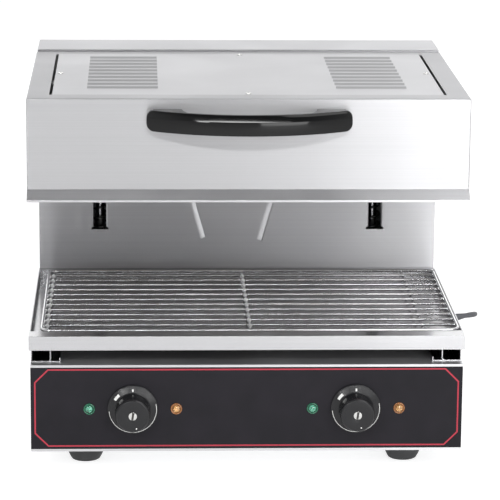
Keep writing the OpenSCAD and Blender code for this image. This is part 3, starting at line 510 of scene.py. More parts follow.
@dataclass(frozen=True)
class LampLens(MouldedPlastic):
    """A clear tinted lens with small prisms moulded inside it.

    Each prism shows its own share of the light behind the lens, so that the colour breaks up
    into deep and pale cells with darker lines between them.

    Attributes:
        ior: refractive index of polycarbonate.
        coat_roughness: roughness of the polished front.
        PRISM_CELLS: prisms in a metre, 1.6 mm each.
    """

    ior: float = 1.58
    coat_roughness: float = 0.05
    PRISM_CELLS: ClassVar[float] = 620.0

    def draw(self, tree: Tree, shader: Node, place: Socket) -> None:
        """Draws the prisms, which are the cells of a Voronoi pattern.

        Args:
            tree: the material's tree.
            shader: its Principled shader.
            place: the Object coordinate, in metres.
        """
        cell = add(tree, "ShaderNodeTexVoronoi", {"Vector": place, "Scale": self.PRISM_CELLS})
        share = add(tree, "ShaderNodeSeparateColor", {0: cell.outputs["Color"]}).outputs[0]
        deep, pale = shaded(self.colour, 0.22), shaded(self.colour, 1.15, lift=0.10)
        stops = [(0.1, deep), (0.6, linear(self.colour)), (0.95, pale)]
        tone = add(tree, "ShaderNodeValToRGB", {0: share}, stops).outputs[0]
        relief = {"Strength": 0.7, "Distance": 0.25 * MM, "Height": cell.outputs["Distance"]}
        bump = add(tree, "ShaderNodeBump", relief)
        fill(shader, {"Base Color": tone, "Normal": bump.outputs[0], **self.body()})


@dataclass(frozen=True)
class TurnedPlastic(MouldedPlastic):
    """A moulded face with fine rings round its own middle, as its mould was turned.

    Attributes:
        middle: a point on the axis of the rings, which runs along Y, in metres.
        RING_MM: spacing of the rings. The real ones are 0.2 mm apart, and these show.
    """

    middle: Point = (0.0, 0.0, 0.0)
    RING_MM: ClassVar[float] = 0.9

    def draw(self, tree: Tree, shader: Node, place: Socket) -> None:
        """Draws the rings.

        Their height is the sine of 2 pi times the distance from the axis over the spacing.

        Args:
            tree: the material's tree.
            shader: its Principled shader.
            place: the Object coordinate, in metres.
        """
        self.mottle(tree, shader, place, self.FLOW_CELLS, self.colour_depth)
        away = {0: place, 1: self.middle}
        away = add(tree, "ShaderNodeVectorMath", away, operation="SUBTRACT").outputs[0]
        flat = {0: away, 1: (1, 0, 1)}
        flat = add(tree, "ShaderNodeVectorMath", flat, operation="MULTIPLY").outputs[0]
        radius = add(tree, "ShaderNodeVectorMath", {0: flat}, operation="LENGTH").outputs["Value"]
        turns = {0: radius, 1: 2 * math.pi / (self.RING_MM * MM)}
        phase = add(tree, "ShaderNodeMath", turns, operation="MULTIPLY").outputs[0]
        wave = add(tree, "ShaderNodeMath", {0: phase}, operation="SINE").outputs[0]
        relief = {"Strength": 0.6, "Distance": 0.02 * MM, "Height": wave}
        bump = add(tree, "ShaderNodeBump", relief)
        fill(shader, {"Normal": bump.outputs[0], **self.body()})


@dataclass(frozen=True)
class PrintedFascia(Finish):
    """Black print on sheet, under a satin varnish, with a red line near its edge.

    The line follows a rectangle whose corners are cut off at 45 degrees. A point's distance
    from it is the largest of three: past the sides, past the top or bottom, past a cut corner.

    Attributes:
        pale: sRGB hex of the black where the print is thinner.
        line: sRGB hex of the red line.
        half: half the width and half the height of the line's rectangle, in millimetres.
        middle_z: height of its middle.
        cut: how much of each side a corner cut takes.
        width: width of the line.
        sheen: specular level, low because the varnish is matted.
        ior: refractive index of the varnish.
        CLOUD_CELLS: patches in the print in a metre, 33 mm each.
        PEEL_CELLS: orange-peel dimples in the varnish in a metre, 1.1 mm each.
    """

    pale: str = "211f24"
    line: str = "a83a47"
    half: tuple[float, float] = (292.0, 54.5)
    middle_z: float = 96.4
    cut: float = 18.2
    width: float = 2.0
    sheen: float = 0.12
    ior: float = 1.5
    CLOUD_CELLS: ClassVar[float] = 30.0
    PEEL_CELLS: ClassVar[float] = 900.0

    def draw(self, tree: Tree, shader: Node, place: Socket) -> None:
        """Draws the line, the print and the varnish.

        Args:
            tree: the material's tree.
            shader: its Principled shader.
            place: the Object coordinate, in metres.
        """

        def count(operation: str, *values: Socket | float) -> Socket:
            """One arithmetic step."""
            inputs = dict(enumerate(values))
            return add(tree, "ShaderNodeMath", inputs, operation=operation).outputs[0]

        axes = add(tree, "ShaderNodeSeparateXYZ", {0: place})
        x = count("ABSOLUTE", count("MULTIPLY", axes.outputs[0], 1 / MM))
        z = count("ABSOLUTE", count("MULTIPLY_ADD", axes.outputs[2], 1 / MM, -self.middle_z))
        past_side = count("SUBTRACT", x, self.half[0])
        past_top = count("SUBTRACT", z, self.half[1])
        corner = count("SUBTRACT", count("ADD", x, z), sum(self.half) - self.cut)
        past_cut = count("MULTIPLY", corner, math.sqrt(0.5))
        off = count("ABSOLUTE", count("MAXIMUM", count("MAXIMUM", past_side, past_top), past_cut))
        on_line = count("LESS_THAN", off, self.width / 2)
        cloud, peel = (
            add(tree, "ShaderNodeTexNoise", {"Vector": place, "Scale": cells, "Detail": fine})
            for cells, fine in ((self.CLOUD_CELLS, 5.0), (self.PEEL_CELLS, 2.0))
        )
        stops = [(0.3, linear(self.colour)), (0.7, linear(self.pale))]
        black = add(tree, "ShaderNodeValToRGB", {0: cloud.outputs[0]}, stops).outputs[0]
        paint = {0: on_line, 6: black, 7: linear(self.line)}
        colour = add(tree, "ShaderNodeMix", paint, data_type="RGBA").outputs[2]
        relief = {"Strength": 0.3, "Distance": 0.01 * MM, "Height": peel.outputs[0]}
        bump = add(tree, "ShaderNodeBump", relief)
        fill(shader, {"Base Color": colour, "Roughness": self.gloss(tree, cloud.outputs[0], 0.1)})
        fill(shader, {"Normal": bump.outputs[0], "IOR": self.ior, "Specular IOR Level": self.sheen})


# Stainless 1.4301 sheet with a 240 grit belt finish: satin grey, a little cloudy where it was
# wiped, and its highlights spread into bands across the grain. The sheets' greys differ as
# painted light and shade: the column, in the hood's shade, is the darkest, and the top cover,
# which faces the light from above, is paler than the casing.
CASING = BrushedSteel("Casing_240_grit_stainless", "b1b1b3", 0.38, stretch=0.9)
BOX = BrushedSteel("Box_240_grit_stainless", "c6c6c8", 0.33, stretch=0.8)
COVER = BrushedSteel("Cover_240_grit_stainless", "bdbdbf", 0.34, streak=0.07)
COLUMN_SHEET = BrushedSteel("Column_240_grit_stainless", "a4a4a6", 0.36, streak=0.04)
RIM_SHEET = BrushedSteel("Rim_240_grit_stainless", "bebec0", 0.34)
# The same steel ground finer, so that it wipes clean: the tray mirrors the wires above it.
TRAY_SHEET = BrushedSteel("Tray_bright_stainless", "bababc", 0.22, stretch=0.8)
# Strip ground lengthways before it was folded, so its highlights run the other way.
RUNNER_SHEET = BrushedSteel("Runner_folded_stainless", "bebec0", 0.28, grain=Grain.DEPTH)
# Bright annealed stainless sheet: a soft mirror, gone straw-coloured where it was hottest.
REFLECTOR = HeatedMetal("Reflector_bright_annealed_sheet", "c4c2bf", 0.22, tint="a79a86")
# Nickel alloy tube, oxidised by glowing: a dull brown-black that hardly mirrors.
# The same dark finish fills the knob screws' slots as painted shade.
SHEATH_AND_SLOT_SHADE = HeatedMetal("Oxidised_sheath_and_slot_shade", "55504b", 0.46, tint="3a3c42", metallic=0.7)
# Drawn copper, browned by the heat of the hood.
BULB = HeatedMetal("Copper_thermostat_bulb", "a5744d", 0.34, tint="7c5a44")
# Hot-dip galvanised sheet: matt blue-grey with faint crystals.
GALVANISED = GalvanisedSheet("Galvanised_sheet", "b4b6b9", 0.42)
# Bright zinc plating on small parts: pale, with a slightly uneven glint.
ZINC = PlatedMetal("Zinc_plated_screw", "c6c6c4", 0.24, cells=400)
# Bright chrome on drawn wire: each wire is a dark line with a white one in it.
CHROME = PlatedMetal("Chromed_wire", "c2c2c4", 0.13, cells=120, depth=0.05)
# Resistance weld under thin chrome: a matt dot, paler than the chrome as a painted highlight where
# the wires cross.
WELD = PlatedMetal("Matt_weld_bead_painted_highlight", "f0f0f2", 0.42, cells=500, depth=0.12, relief_mm=0.05)
# Hard chromed and ground bar: one sharp even highlight along it.
GROUND = PlatedMetal("Ground_hard_chromed_rod", "cfcfd2", 0.16, cells=200, depth=0.03)
# Oiled spring steel wire: dark grey with a soft glint.
SPRING = PlatedMetal("Oiled_spring_wire", "6e6e70", 0.34, cells=300, depth=0.12)
# Turned bearing bronze: warm yellow-brown satin.
BRONZE = PlatedMetal("Turned_bearing_bronze", "b08a58", 0.32, cells=500, depth=0.10)
# Sand-cast aluminium, not machined: dull and coarse.
CAST = PlatedMetal("Sand_cast_aluminium", "bcbcbe", 0.46, cells=900, depth=0.08, relief_mm=0.08)
# Stove enamel on steel: dark grey and half matt, with a slight orange peel.
PAINT = MouldedPlastic("Dark_grey_stove_enamel", "4a4a4c", 0.42, spark=900)
# Screen print on sheet under a satin varnish: near black, with hardly a highlight.
FASCIA = PrintedFascia("Printed_black_fascia", "1d1c20", 0.38)
# Phenolic moulding, polished in its mould: deep black with small sharp highlights.
HANDLE = MouldedPlastic(
    "Handle_gloss_black_phenolic", "030304", 0.07, spark=1500, relief_mm=0.001, sheen=0.3
)
# Pad print: flat white ink.
WHITE_INK = MouldedPlastic("Knob_white_pad_print", "dcdcda", 0.55, spark=1800, relief_mm=0.004)
# Moulded nitrile rubber on the feet, and chloroprene rubber on the cord and the plug: dull
# greys just above black, with no highlight to speak of.
RUBBER = MouldedPlastic("Foot_black_nitrile_rubber", "3d3d3e", 0.72, spark=1400, relief_mm=0.05)
CORD_RUBBER = MouldedPlastic("Cord_grey_black_rubber", "55565a", 0.62, spark=1400, relief_mm=0.04)
PLUG_RUBBER = MouldedPlastic("Plug_black_rubber", "343436", 0.58, spark=1600, relief_mm=0.04)
# Moulded nylon: black with a broad soft highlight.
GLAND = MouldedPlastic("Gland_black_nylon", "2c2c2e", 0.46, spark=2200)
# Pressed melamine: ivory and half matt.
TERMINAL = MouldedPlastic("Terminal_ivory_melamine", "d8d3c4", 0.5, spark=1800)
# Tinted polycarbonate lenses, which sparkle inside, in rings of a deeper tint.
GREEN = LampLens("Lamp_green_polycarbonate", "4aa888", 0.14, coat=0.4, clear=0.2)
AMBER = LampLens("Lamp_amber_polycarbonate", "dca35c", 0.14, coat=0.4, clear=0.2)
GREEN_BEZEL, AMBER_BEZEL = (
    MouldedPlastic(name, colour, 0.22, spark=900, relief_mm=0.004, coat=0.3, colour_depth=0.15)
    for name, colour in (("Lamp_bezel_deep_green", "12583f"), ("Lamp_bezel_deep_amber", "86562c"))
)


# ---- shapes ----

AXIS_GAP = 1e-3  # radius that stands for 0 where a ring of points meets its axis
TO_FRONT = np.array([[1, 0, 0], [0, 0, -1], [0, 1, 0]], float)  # turns +Z to -Y, towards the user
TO_RIGHT = np.array([[0, 0, 1], [0, 1, 0], [-1, 0, 0]], float)  # turns +Z to +X


@dataclass
class Shape:
    """Points in millimetres and the faces on them.

    Attributes:
        points: an (n, 3) array.
        faces: lists of point numbers, as arrays of three or four columns.
    """

    points: Array
    faces: list[Array] = field(default_factory=list)

    def __add__(self, other: "Shape") -> "Shape":
        """Both shapes in one."""
        moved = [face + len(self.points) for face in other.faces]
        return Shape(np.vstack([self.points, other.points]), self.faces + moved)

    def moved(self, by: Sequence[float]) -> "Shape":
        """The same shape somewhere else."""
        return Shape(self.points + np.asarray(by, float), self.faces)

    def turned(self, matrix: Array) -> "Shape":
        """The same shape after a rotation by a 3 x 3 matrix."""
        return Shape(self.points @ np.asarray(matrix, float).T, self.faces)

    def outward(self) -> "Shape":
        """The same shape with its faces looking out.

        The volume inside a closed surface is a sixth of the sum of each triangle's three corners
        multiplied as a box product. Where that sum is negative, every face is turned over.

        Returns:
            The shape.
        """
        total = 0.0
        for face in self.faces:
            a, b, c = (self.points[face[:, k]] for k in range(3))
            total += np.einsum("ij,ij->", a, np.cross(b, c))
            if face.shape[1] == 4:
                d = self.points[face[:, 3]]
                total += np.einsum("ij,ij->", a, np.cross(c, d))
        return self if total >= 0 else Shape(self.points, [f[:, ::-1] for f in self.faces])


def joined(shapes: Iterable[Shape]) -> Shape:
    """Several shapes in one."""
    return reduce(Shape.__add__, shapes)


def mesh_grid(rows: int, cols: int, wrap_rows: bool = False, wrap_cols: bool = True) -> Array:
    """The quads of a grid of points, numbered row by row.

    The quad at row i and place j has the corners (i, j), (i, j + 1), (i + 1, j + 1) and
    (i + 1, j), and the point at (i, j) has the number i times the row's length plus j.

    Args:
        rows: how many rows.
        cols: how many points in a row.
        wrap_rows: the last row joins the first.
        wrap_cols: the last point of a row joins its first.

    Returns:
        An (m, 4) array of point numbers.
    """
    starts = np.arange(rows - (not wrap_rows)), np.arange(cols - (not wrap_cols))
    i, j = np.meshgrid(*starts, indexing="ij")
    up, over = (i + 1) % rows, (j + 1) % cols
    quads = [i * cols + j, i * cols + over, up * cols + over, up * cols + j]
    return np.stack(quads, -1).reshape(-1, 4)


def skin(sections: Array, closed: bool = False, caps: bool = True) -> Shape:
    """A surface through rings of points.

    Each ring is one row of the grid. A ring shut on itself makes a tube, and each open end gets
    a fan of triangles round the middle of its ring.

    Args:
        sections: an (n, m, 3) array of n rings of m points.
        closed: the last ring joins the first, as on a hoop.
        caps: the open ends are shut.

    Returns:
        The shape, with its faces outwards.
    """
    n, m, _ = sections.shape
    points = sections.reshape(-1, 3)
    faces = [mesh_grid(n, m, wrap_rows=closed)]
    if caps and not closed:
        ends = sections[[0, -1]].mean(1)
        points = np.vstack([points, ends])
        k = np.arange(m)
        first, last, edge = n * m, n * m + 1, (n - 1) * m
        faces.append(np.stack([np.full(m, first), (k + 1) % m, k], -1))
        faces.append(np.stack([np.full(m, last), edge + k, edge + (k + 1) % m], -1))
    return Shape(points, faces).outward()


def lathe(profile: Array, steps: int = 64) -> Shape:
    """A turned shape about the Z axis.

    A profile point (r, h) becomes the ring (r cos t, r sin t, h) for t round a full turn. The
    profile starts and ends on the axis or near it, where a fan shuts it.

    Args:
        profile: an (n, 2) array of radius and height.
        steps: points in each ring.

    Returns:
        The shape, with its faces outwards.
    """
    t = np.linspace(0, 2 * np.pi, steps, endpoint=False)
    r = np.maximum(profile[:, :1], AXIS_GAP)
    return skin(np.stack([r * np.cos(t), r * np.sin(t), np.repeat(profile[:, 1:2], steps, 1)], -1))


def rounded_line(corners: Array, radii: float | Sequence[float], steps: int = 5) -> Array:
    """An open line whose corners are replaced by arcs.

    Each arc starts at r tan(a/2) before its corner, where a is the turn there, but no more than
    nearly halfway to the next corner. It is drawn as the curve
    B(t) = (1-t)^2 P + 2t(1-t) C + t^2 Q between its two ends P and Q, with C at the corner.

    Args:
        corners: an (n, k) array of points.
        radii: one radius, or one for each inner corner.
        steps: points in each arc.

    Returns:
        The points of the rounded line.
    """
    corners = np.asarray(corners, float)
    radii = np.broadcast_to(np.asarray(radii, float), (len(corners) - 2,))
    before, at, after = corners[:-2], corners[1:-1], corners[2:]
    a, b = before - at, after - at
    la, lb = np.linalg.norm(a, axis=1), np.linalg.norm(b, axis=1)
    turn = np.pi - np.arccos(np.clip((a * b).sum(1) / (la * lb), -1, 1))
    cut = np.minimum(radii * np.tan(turn / 2), 0.48 * np.minimum(la, lb))
    p, q = at + a / la[:, None] * cut[:, None], at + b / lb[:, None] * cut[:, None]
    t = np.linspace(0, 1, steps)[None, :, None]
    arcs = (1 - t) ** 2 * p[:, None] + 2 * t * (1 - t) * at[:, None] + t**2 * q[:, None]
    return np.vstack([corners[:1], arcs.reshape(-1, corners.shape[1]), corners[-1:]])


def rod(
    path: Array, radius: float | Array, sides: int, closed: bool = False, up: Point = (0, 0, 1)
) -> Shape:
    """A round bar along a path.

    At each path point T is the direction, S = T x up and U = S x T. The ring there is
    P + r (S cos t + U sin t).

    Args:
        path: an (n, 3) array of points.
        radius: one radius, or one for each point.
        sides: points in each ring.
        closed: the path is a hoop.
        up: a direction that the path never takes.

    Returns:
        The shape, with its faces outwards.
    """
    path = np.asarray(path, float)
    if closed:
        run = np.roll(path, -1, 0) - np.roll(path, 1, 0)
    else:
        run = np.gradient(path, axis=0)
    run /= np.linalg.norm(run, axis=1, keepdims=True)
    side = np.cross(run, np.asarray(up, float))
    side /= np.linalg.norm(side, axis=1, keepdims=True)
    top = np.cross(side, run)
    t = np.linspace(0, 2 * np.pi, sides, endpoint=False)
    r = np.broadcast_to(np.asarray(radius, float), (len(path),))[:, None, None]
    cos, sin = np.cos(t)[None, :, None], np.sin(t)[None, :, None]
    return skin(path[:, None] + r * (side[:, None] * cos + top[:, None] * sin), closed=closed)


def smooth_path(points: Array, step: float) -> Array:
    """A smooth curve through chosen points, with even spacing.

    Between points b and c, with a before and d after, the curve is
    (2b + t(c-a) + t^2(2a-5b+4c-d) + t^3(3b-a-3c+d)) / 2. It is then sampled by length, and
    each point moves three times to a quarter of its neighbours' sum plus half of itself.

    Args:
        points: an (n, 3) array.
        step: the spacing of the result.

    Returns:
        The even points.
    """
    p = np.vstack([2 * points[0] - points[1], points, 2 * points[-1] - points[-2]])
    a, b, c, d = (p[i : len(p) - 3 + i][:, None] for i in range(4))
    t = np.linspace(0, 1, 12, endpoint=False)[None, :, None]
    second, third = 2 * a - 5 * b + 4 * c - d, 3 * b - a - 3 * c + d
    curve = 0.5 * (2 * b + t * (c - a) + t**2 * second + t**3 * third)
    curve = np.vstack([curve.reshape(-1, 3), points[-1]])
    far = np.concatenate([[0], np.cumsum(np.linalg.norm(np.diff(curve, axis=0), axis=1))])
    at = np.linspace(0, far[-1], max(3, int(far[-1] / step) + 1))
    even = np.stack([np.interp(at, far, curve[:, k]) for k in range(3)], 1)
    for _ in range(3):
        even[1:-1] = (even[:-2] + 2 * even[1:-1] + even[2:]) / 4
    return even


# ---- objects ----

FOLD = math.radians(32)  # an edge that turns by more than this is a fold or a cut, and is rounded
FLAT = math.radians(0.4)  # faces that turn by less than this are one flat face
SAME_POINT = 2e-6  # points nearer than this are one point, in metres


def dress(
    made: bpy.types.Object, body: Body, finish: Finish, replaces: Sequence[str] = ()
) -> bpy.types.Object:
    """Gives an object its finish, its body and the CAD nodes it stands for.

    Args:
        made: the object.
        body: the body that it moves with.
        finish: its finish.
        replaces: CAD nodes that it stands for.

    Returns:
        The same object.
    """
    made.data.materials.clear()
    made.data.materials.append(finish.material())
    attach(made, body.value)
    if replaces:
        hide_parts(*replaces)
    LOG.info("%s: %d points, %s", made.name, len(made.data.vertices), finish.name)
    return made


def build(
    name: str, shape: Shape, body: Body, finish: Finish, replaces: Sequence[str] = ()
) -> bpy.types.Object:
    """Makes an object from a shape. Edges that turn by less than 40 degrees are shaded smooth.

    Args:
        name: the object's name.
        shape: the shape, in millimetres.
        body: the body that it moves with.
        finish: its finish.
        replaces: CAD nodes that it stands for.

    Returns:
        The object.
    """
    data = bpy.data.meshes.new(name)
    faces = [row for block in shape.faces for row in block.tolist()]
    data.from_pydata((shape.points * MM).tolist(), [], faces)
    data.validate()
    data.shade_smooth()
    data.set_sharp_from_angle(angle=math.radians(40))
    made = bpy.data.objects.new(name, data)
    bpy.context.scene.collection.objects.link(made)
    return dress(made, body, finish, replaces)


def folded(
    node: str,
    name: str,
    radius: float,
    body: Body,
    slot: Slot,
    finish: Finish,
    crease: float = 40.0,
) -> bpy.types.Object:
    """A sheet-metal piece whose folded and cut edges are rounded.

    It is a merged copy of the CAD node's mesh with its flat triangles joined, under a bevel. The
    large faces keep their own normals, so that flat sheet mirrors as flat. An edge is shaded
    smooth up to the crease angle, and from the fold angle on, where the bevel rounds it.

    Args:
        node: the CAD node.
        name: the new object's name.
        radius: the width of the rounding, in millimetres.
        body: the body that it moves with.
        slot: the record's material slot; not used.
        finish: its finish.
        crease: edges that turn by more than this many degrees stay sharp, below the fold angle.

    Returns:
        The object.
    """
    work = bmesh.new()
    work.from_mesh(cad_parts[node].data)
    bmesh.ops.remove_doubles(work, verts=work.verts, dist=SAME_POINT)
    bmesh.ops.dissolve_limit(work, angle_limit=FLAT, verts=work.verts, edges=work.edges)
    for face in work.faces:
        face.smooth = True
    for edge in work.edges:
        edge.smooth = not math.radians(crease) < edge.calc_face_angle(0.0) < FOLD
    data = bpy.data.meshes.new(name)
    work.to_mesh(data)
    work.free()
    if "custom_normal" in data.attributes:
        data.attributes.remove(data.attributes["custom_normal"])
    made = bpy.data.objects.new(name, data)
    bpy.context.scene.collection.objects.link(made)
    rounding = made.modifiers.new("Rounding", "BEVEL")
    rounding.width, rounding.segments = radius * MM, 2
    rounding.limit_method, rounding.angle_limit = "ANGLE", FOLD
    rounding.miter_outer = "MITER_SHARP"
    flat = made.modifiers.new("Flat_sheet", "WEIGHTED_NORMAL")
    flat.weight, flat.keep_sharp = 100, True
    return dress(made, body, finish, [node])


def refinish(nodes: Iterable[str], finish: Finish) -> None:
    """Gives a finish to CAD nodes that stay as they are.

    Args:
        nodes: the nodes' names.
        finish: their finish.
    """
    for node in nodes:
        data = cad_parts[node].data
        data.materials.clear()
        data.materials.append(finish.material())
        LOG.info("%s: %s", node, finish.name)


def pan_head(radius: float, height: float, recess: float) -> Shape:
    """A pan head screw: a low dome with a small round drive recess.

    The dome's height falls from h at the middle to 0.55 h at the rim as h (1 - 0.45 (r/R)^2).

    Args:
        radius: radius of the head.
        height: height of the dome.
        recess: radius of the drive recess.

    Returns:
        The head, standing on Z = 0.
    """
    r = np.linspace(radius * 0.97, recess, 6)
    dome = np.stack([r, height * (1 - 0.45 * (r / radius) ** 2)], 1)
    foot = [[0, 0], [radius, 0], [radius, height * 0.4]]
    drive = [[recess * 0.8, height * 0.45], [0, height * 0.35]]
    return lathe(np.vstack([foot, dome, drive]), 20)


# ---- stage ----


def seen_rays(tree: Tree) -> tuple[Node, Socket]:
    """Tells the rays that show a surface from those that only light the object.

    Args:
        tree: the node tree.

    Returns:
        The Light Path node, and a value that is 1 for a ray from the camera, off metal or
        through glass, and 0 for any other.
    """
    rays = add(tree, "ShaderNodeLightPath")
    seen = rays.outputs["Is Camera Ray"]
    for way in ("Is Glossy Ray", "Is Transmission Ray"):
        either = {0: seen, 1: rays.outputs[way]}
        seen = add(tree, "ShaderNodeMath", either, operation="MAXIMUM").outputs[0]
    return rays, seen


@dataclass(frozen=True)
class SoftBox:
    """A rectangular lamp.

    Attributes:
        name: the lamp's name.
        at: its place, in metres.
        size: its width and height, in metres.
        power: watts.
    """

    name: str
    at: Point
    size: tuple[float, float]
    power: float

    def build(self, aim: Vector) -> None:
        """Makes the lamp, which the camera doesn't see.

        Args:
            aim: the point that it looks at, in metres.
        """
        data = bpy.data.lights.new(self.name, "AREA")
        data.shape, data.energy = "RECTANGLE", self.power
        data.size, data.size_y = self.size
        made = bpy.data.objects.new(self.name, data)
        bpy.context.scene.collection.objects.link(made)
        made.visible_camera = False
        place = Vector(self.at)
        turn = (aim - place).to_track_quat("-Z", "Y").to_matrix().to_4x4()
        made.matrix_world = Matrix.Translation(place) @ turn


@dataclass
class Stage:
    """The camera, the floor, the room and the lamps.

    Attributes:
        eye: where the camera stands, in millimetres.
        pitch: how far it looks down, in degrees.
        yaw: how far it looks to the right.
        roll: how far it is turned about its own axis.
        lens: focal length on the sensor.
        sensor: width of the sensor, in millimetres.
        clip: nearest and furthest that the camera sees, in metres.
        aim: the point that the lamps look at, in metres.
        floor_half: half the floor's side, in metres.
        floor_glow: how much light the floor adds to its own shade where it is seen, so that
            it comes out white beside the object's shadow.
        room_light: strength of the room as a light.
        ceiling: the room's tone straight above, as metal shows it.
        lamps: the soft boxes.
    """

    eye: Point = (-150.1, -3825.2, 1167.6)
    pitch: float = 13.22
    yaw: float = 2.42
    roll: float = 0.48
    lens: float = 196.02
    sensor: float = 36.0
    clip: tuple[float, float] = (0.05, 100.0)
    aim: Point = (0.0, 0.0, 0.25)
    floor_half: float = 14.0
    floor_glow: float = 0.77
    room_light: float = 0.52
    ceiling: float = 0.28
    lamps: tuple[SoftBox, ...] = (
        # Low at the right: it lights the right sides and pales the right half of each front.
        SoftBox("Right_soft_box", (1.10, -2.65, 0.62), (1.5, 1.2), 28),
        # High at the right: it pales the tops of the hood and the tray.
        SoftBox("Right_ceiling_box", (1.15, -0.75, 2.1), (1.3, 1.5), 16),
        # A thin strip above the camera: the line of light along the handle and the edges.
        SoftBox("Front_strip", (-0.1, -2.3, 1.6), (2.6, 0.12), 23),
        # Behind: it lights the back, which no other lamp reaches.
        SoftBox("Rear_soft_box", (0.1, 3.0, 1.25), (3.2, 2.4), 16),
        # Small, at the left: the glints on the knobs, the lenses and the wires.
        SoftBox("Left_small_box", (-1.25, -2.5, 1.3), (0.35, 0.35), 14),
    )

    def camera(self) -> None:
        """Makes the camera from its three angles.

        It looks along (sin yaw cos pitch, cos yaw cos pitch, -sin pitch). Its right and up
        directions are level and square to that, and are then turned by the roll.
        """
        pitch, yaw, roll = (math.radians(a) for a in (self.pitch, self.yaw, self.roll))
        out, down = math.cos(pitch), math.sin(pitch)
        ahead = Vector((math.sin(yaw) * out, math.cos(yaw) * out, -down))
        level = Vector((math.cos(yaw), -math.sin(yaw), 0))
        above = level.cross(ahead)
        right = level * math.cos(roll) + above * math.sin(roll)
        up = above * math.cos(roll) - level * math.sin(roll)
        data = bpy.data.cameras.new("Camera")
        data.lens, data.sensor_width = self.lens, self.sensor
        data.clip_start, data.clip_end = self.clip
        made = bpy.data.objects.new("Camera", data)
        bpy.context.scene.collection.objects.link(made)
        turn = Matrix((right, up, -ahead)).transposed().to_4x4()
        made.matrix_world = Matrix.Translation(Vector(self.eye) * MM) @ turn
        bpy.context.scene.camera = made

    def floor(self) -> None:
        """Makes the pale floor.

        As a light it is plain white paper. To the camera, in metal and through glass it is a
        darker paper with a glow added, which comes to white and keeps the object's shadow.
        """
        h = self.floor_half
        data = bpy.data.meshes.new("Floor")
        data.from_pydata([(-h, -h, 0), (h, -h, 0), (h, h, 0), (-h, h, 0)], [], [(0, 1, 2, 3)])
        made = bpy.data.objects.new("Floor", data)
        bpy.context.scene.collection.objects.link(made)
        paper = bpy.data.materials.new("White_paper_sweep")
        paper.use_nodes = True
        tree = paper.node_tree
        tree.nodes.clear()
        place = add(tree, "ShaderNodeTexCoord").outputs["Object"]
        fibre = add(tree, "ShaderNodeTexNoise", {"Vector": place, "Scale": 3.0}).outputs[0]
        stops = [(0.3, grey(0.90)), (0.7, grey(0.92))]
        white = add(tree, "ShaderNodeValToRGB", {0: fibre}, stops).outputs[0]
        plain = add(tree, "ShaderNodeBsdfDiffuse", {"Color": white}).outputs[0]
        shade = add(tree, "ShaderNodeBsdfDiffuse", {"Color": grey(0.50)}).outputs[0]
        light = {"Color": grey(1.0), "Strength": self.floor_glow}
        glow = add(tree, "ShaderNodeEmission", light).outputs[0]
        both = add(tree, "ShaderNodeAddShader", {0: shade, 1: glow}).outputs[0]
        _, seen = seen_rays(tree)
        mixed = add(tree, "ShaderNodeMixShader", {0: seen, 1: plain, 2: both}).outputs[0]
        add(tree, "ShaderNodeOutputMaterial", {"Surface": mixed})
        data.materials.append(paper)

    def room(self) -> None:
        """Makes the room: white to the camera, and softer as a light.

        Metal and glass show it white with a dim ceiling. The tone there falls from white to
        the ceiling's where the cosine between a direction and a line that leans 30 degrees
        from straight up towards the user goes from 0.45 to 0.85.
        """
        world = bpy.data.worlds.new("Room")
        bpy.context.scene.world = world
        world.use_nodes = True
        tree = world.node_tree
        tree.nodes.clear()
        rays, seen = seen_rays(tree)
        dim = {"Color": grey(1.0), "Strength": self.room_light}
        light = add(tree, "ShaderNodeBackground", dim).outputs[0]
        way = add(tree, "ShaderNodeTexCoord").outputs["Generated"]
        lean = {0: way, 1: (0.1, -0.5, 0.86)}
        up = add(tree, "ShaderNodeVectorMath", lean, operation="DOT_PRODUCT").outputs["Value"]
        stops = [(0.45, grey(1.0)), (0.85, grey(self.ceiling))]
        overhead = add(tree, "ShaderNodeValToRGB", {0: up}, stops).outputs[0]
        choice = {0: rays.outputs["Is Camera Ray"], 6: overhead, 7: grey(1.0)}
        walls = add(tree, "ShaderNodeMix", choice, data_type="RGBA").outputs[2]
        shown = add(tree, "ShaderNodeBackground", {"Color": walls, "Strength": 1.0}).outputs[0]
        mixed = add(tree, "ShaderNodeMixShader", {0: seen, 1: light, 2: shown}).outputs[0]
        add(tree, "ShaderNodeOutputWorld", {"Surface": mixed})

    def build(self) -> None:
        """Makes the whole stage."""
        self.camera()
        self.floor()
        self.room()
        for lamp in self.lamps:
            lamp.build(Vector(self.aim))


# ---- mains lead ----


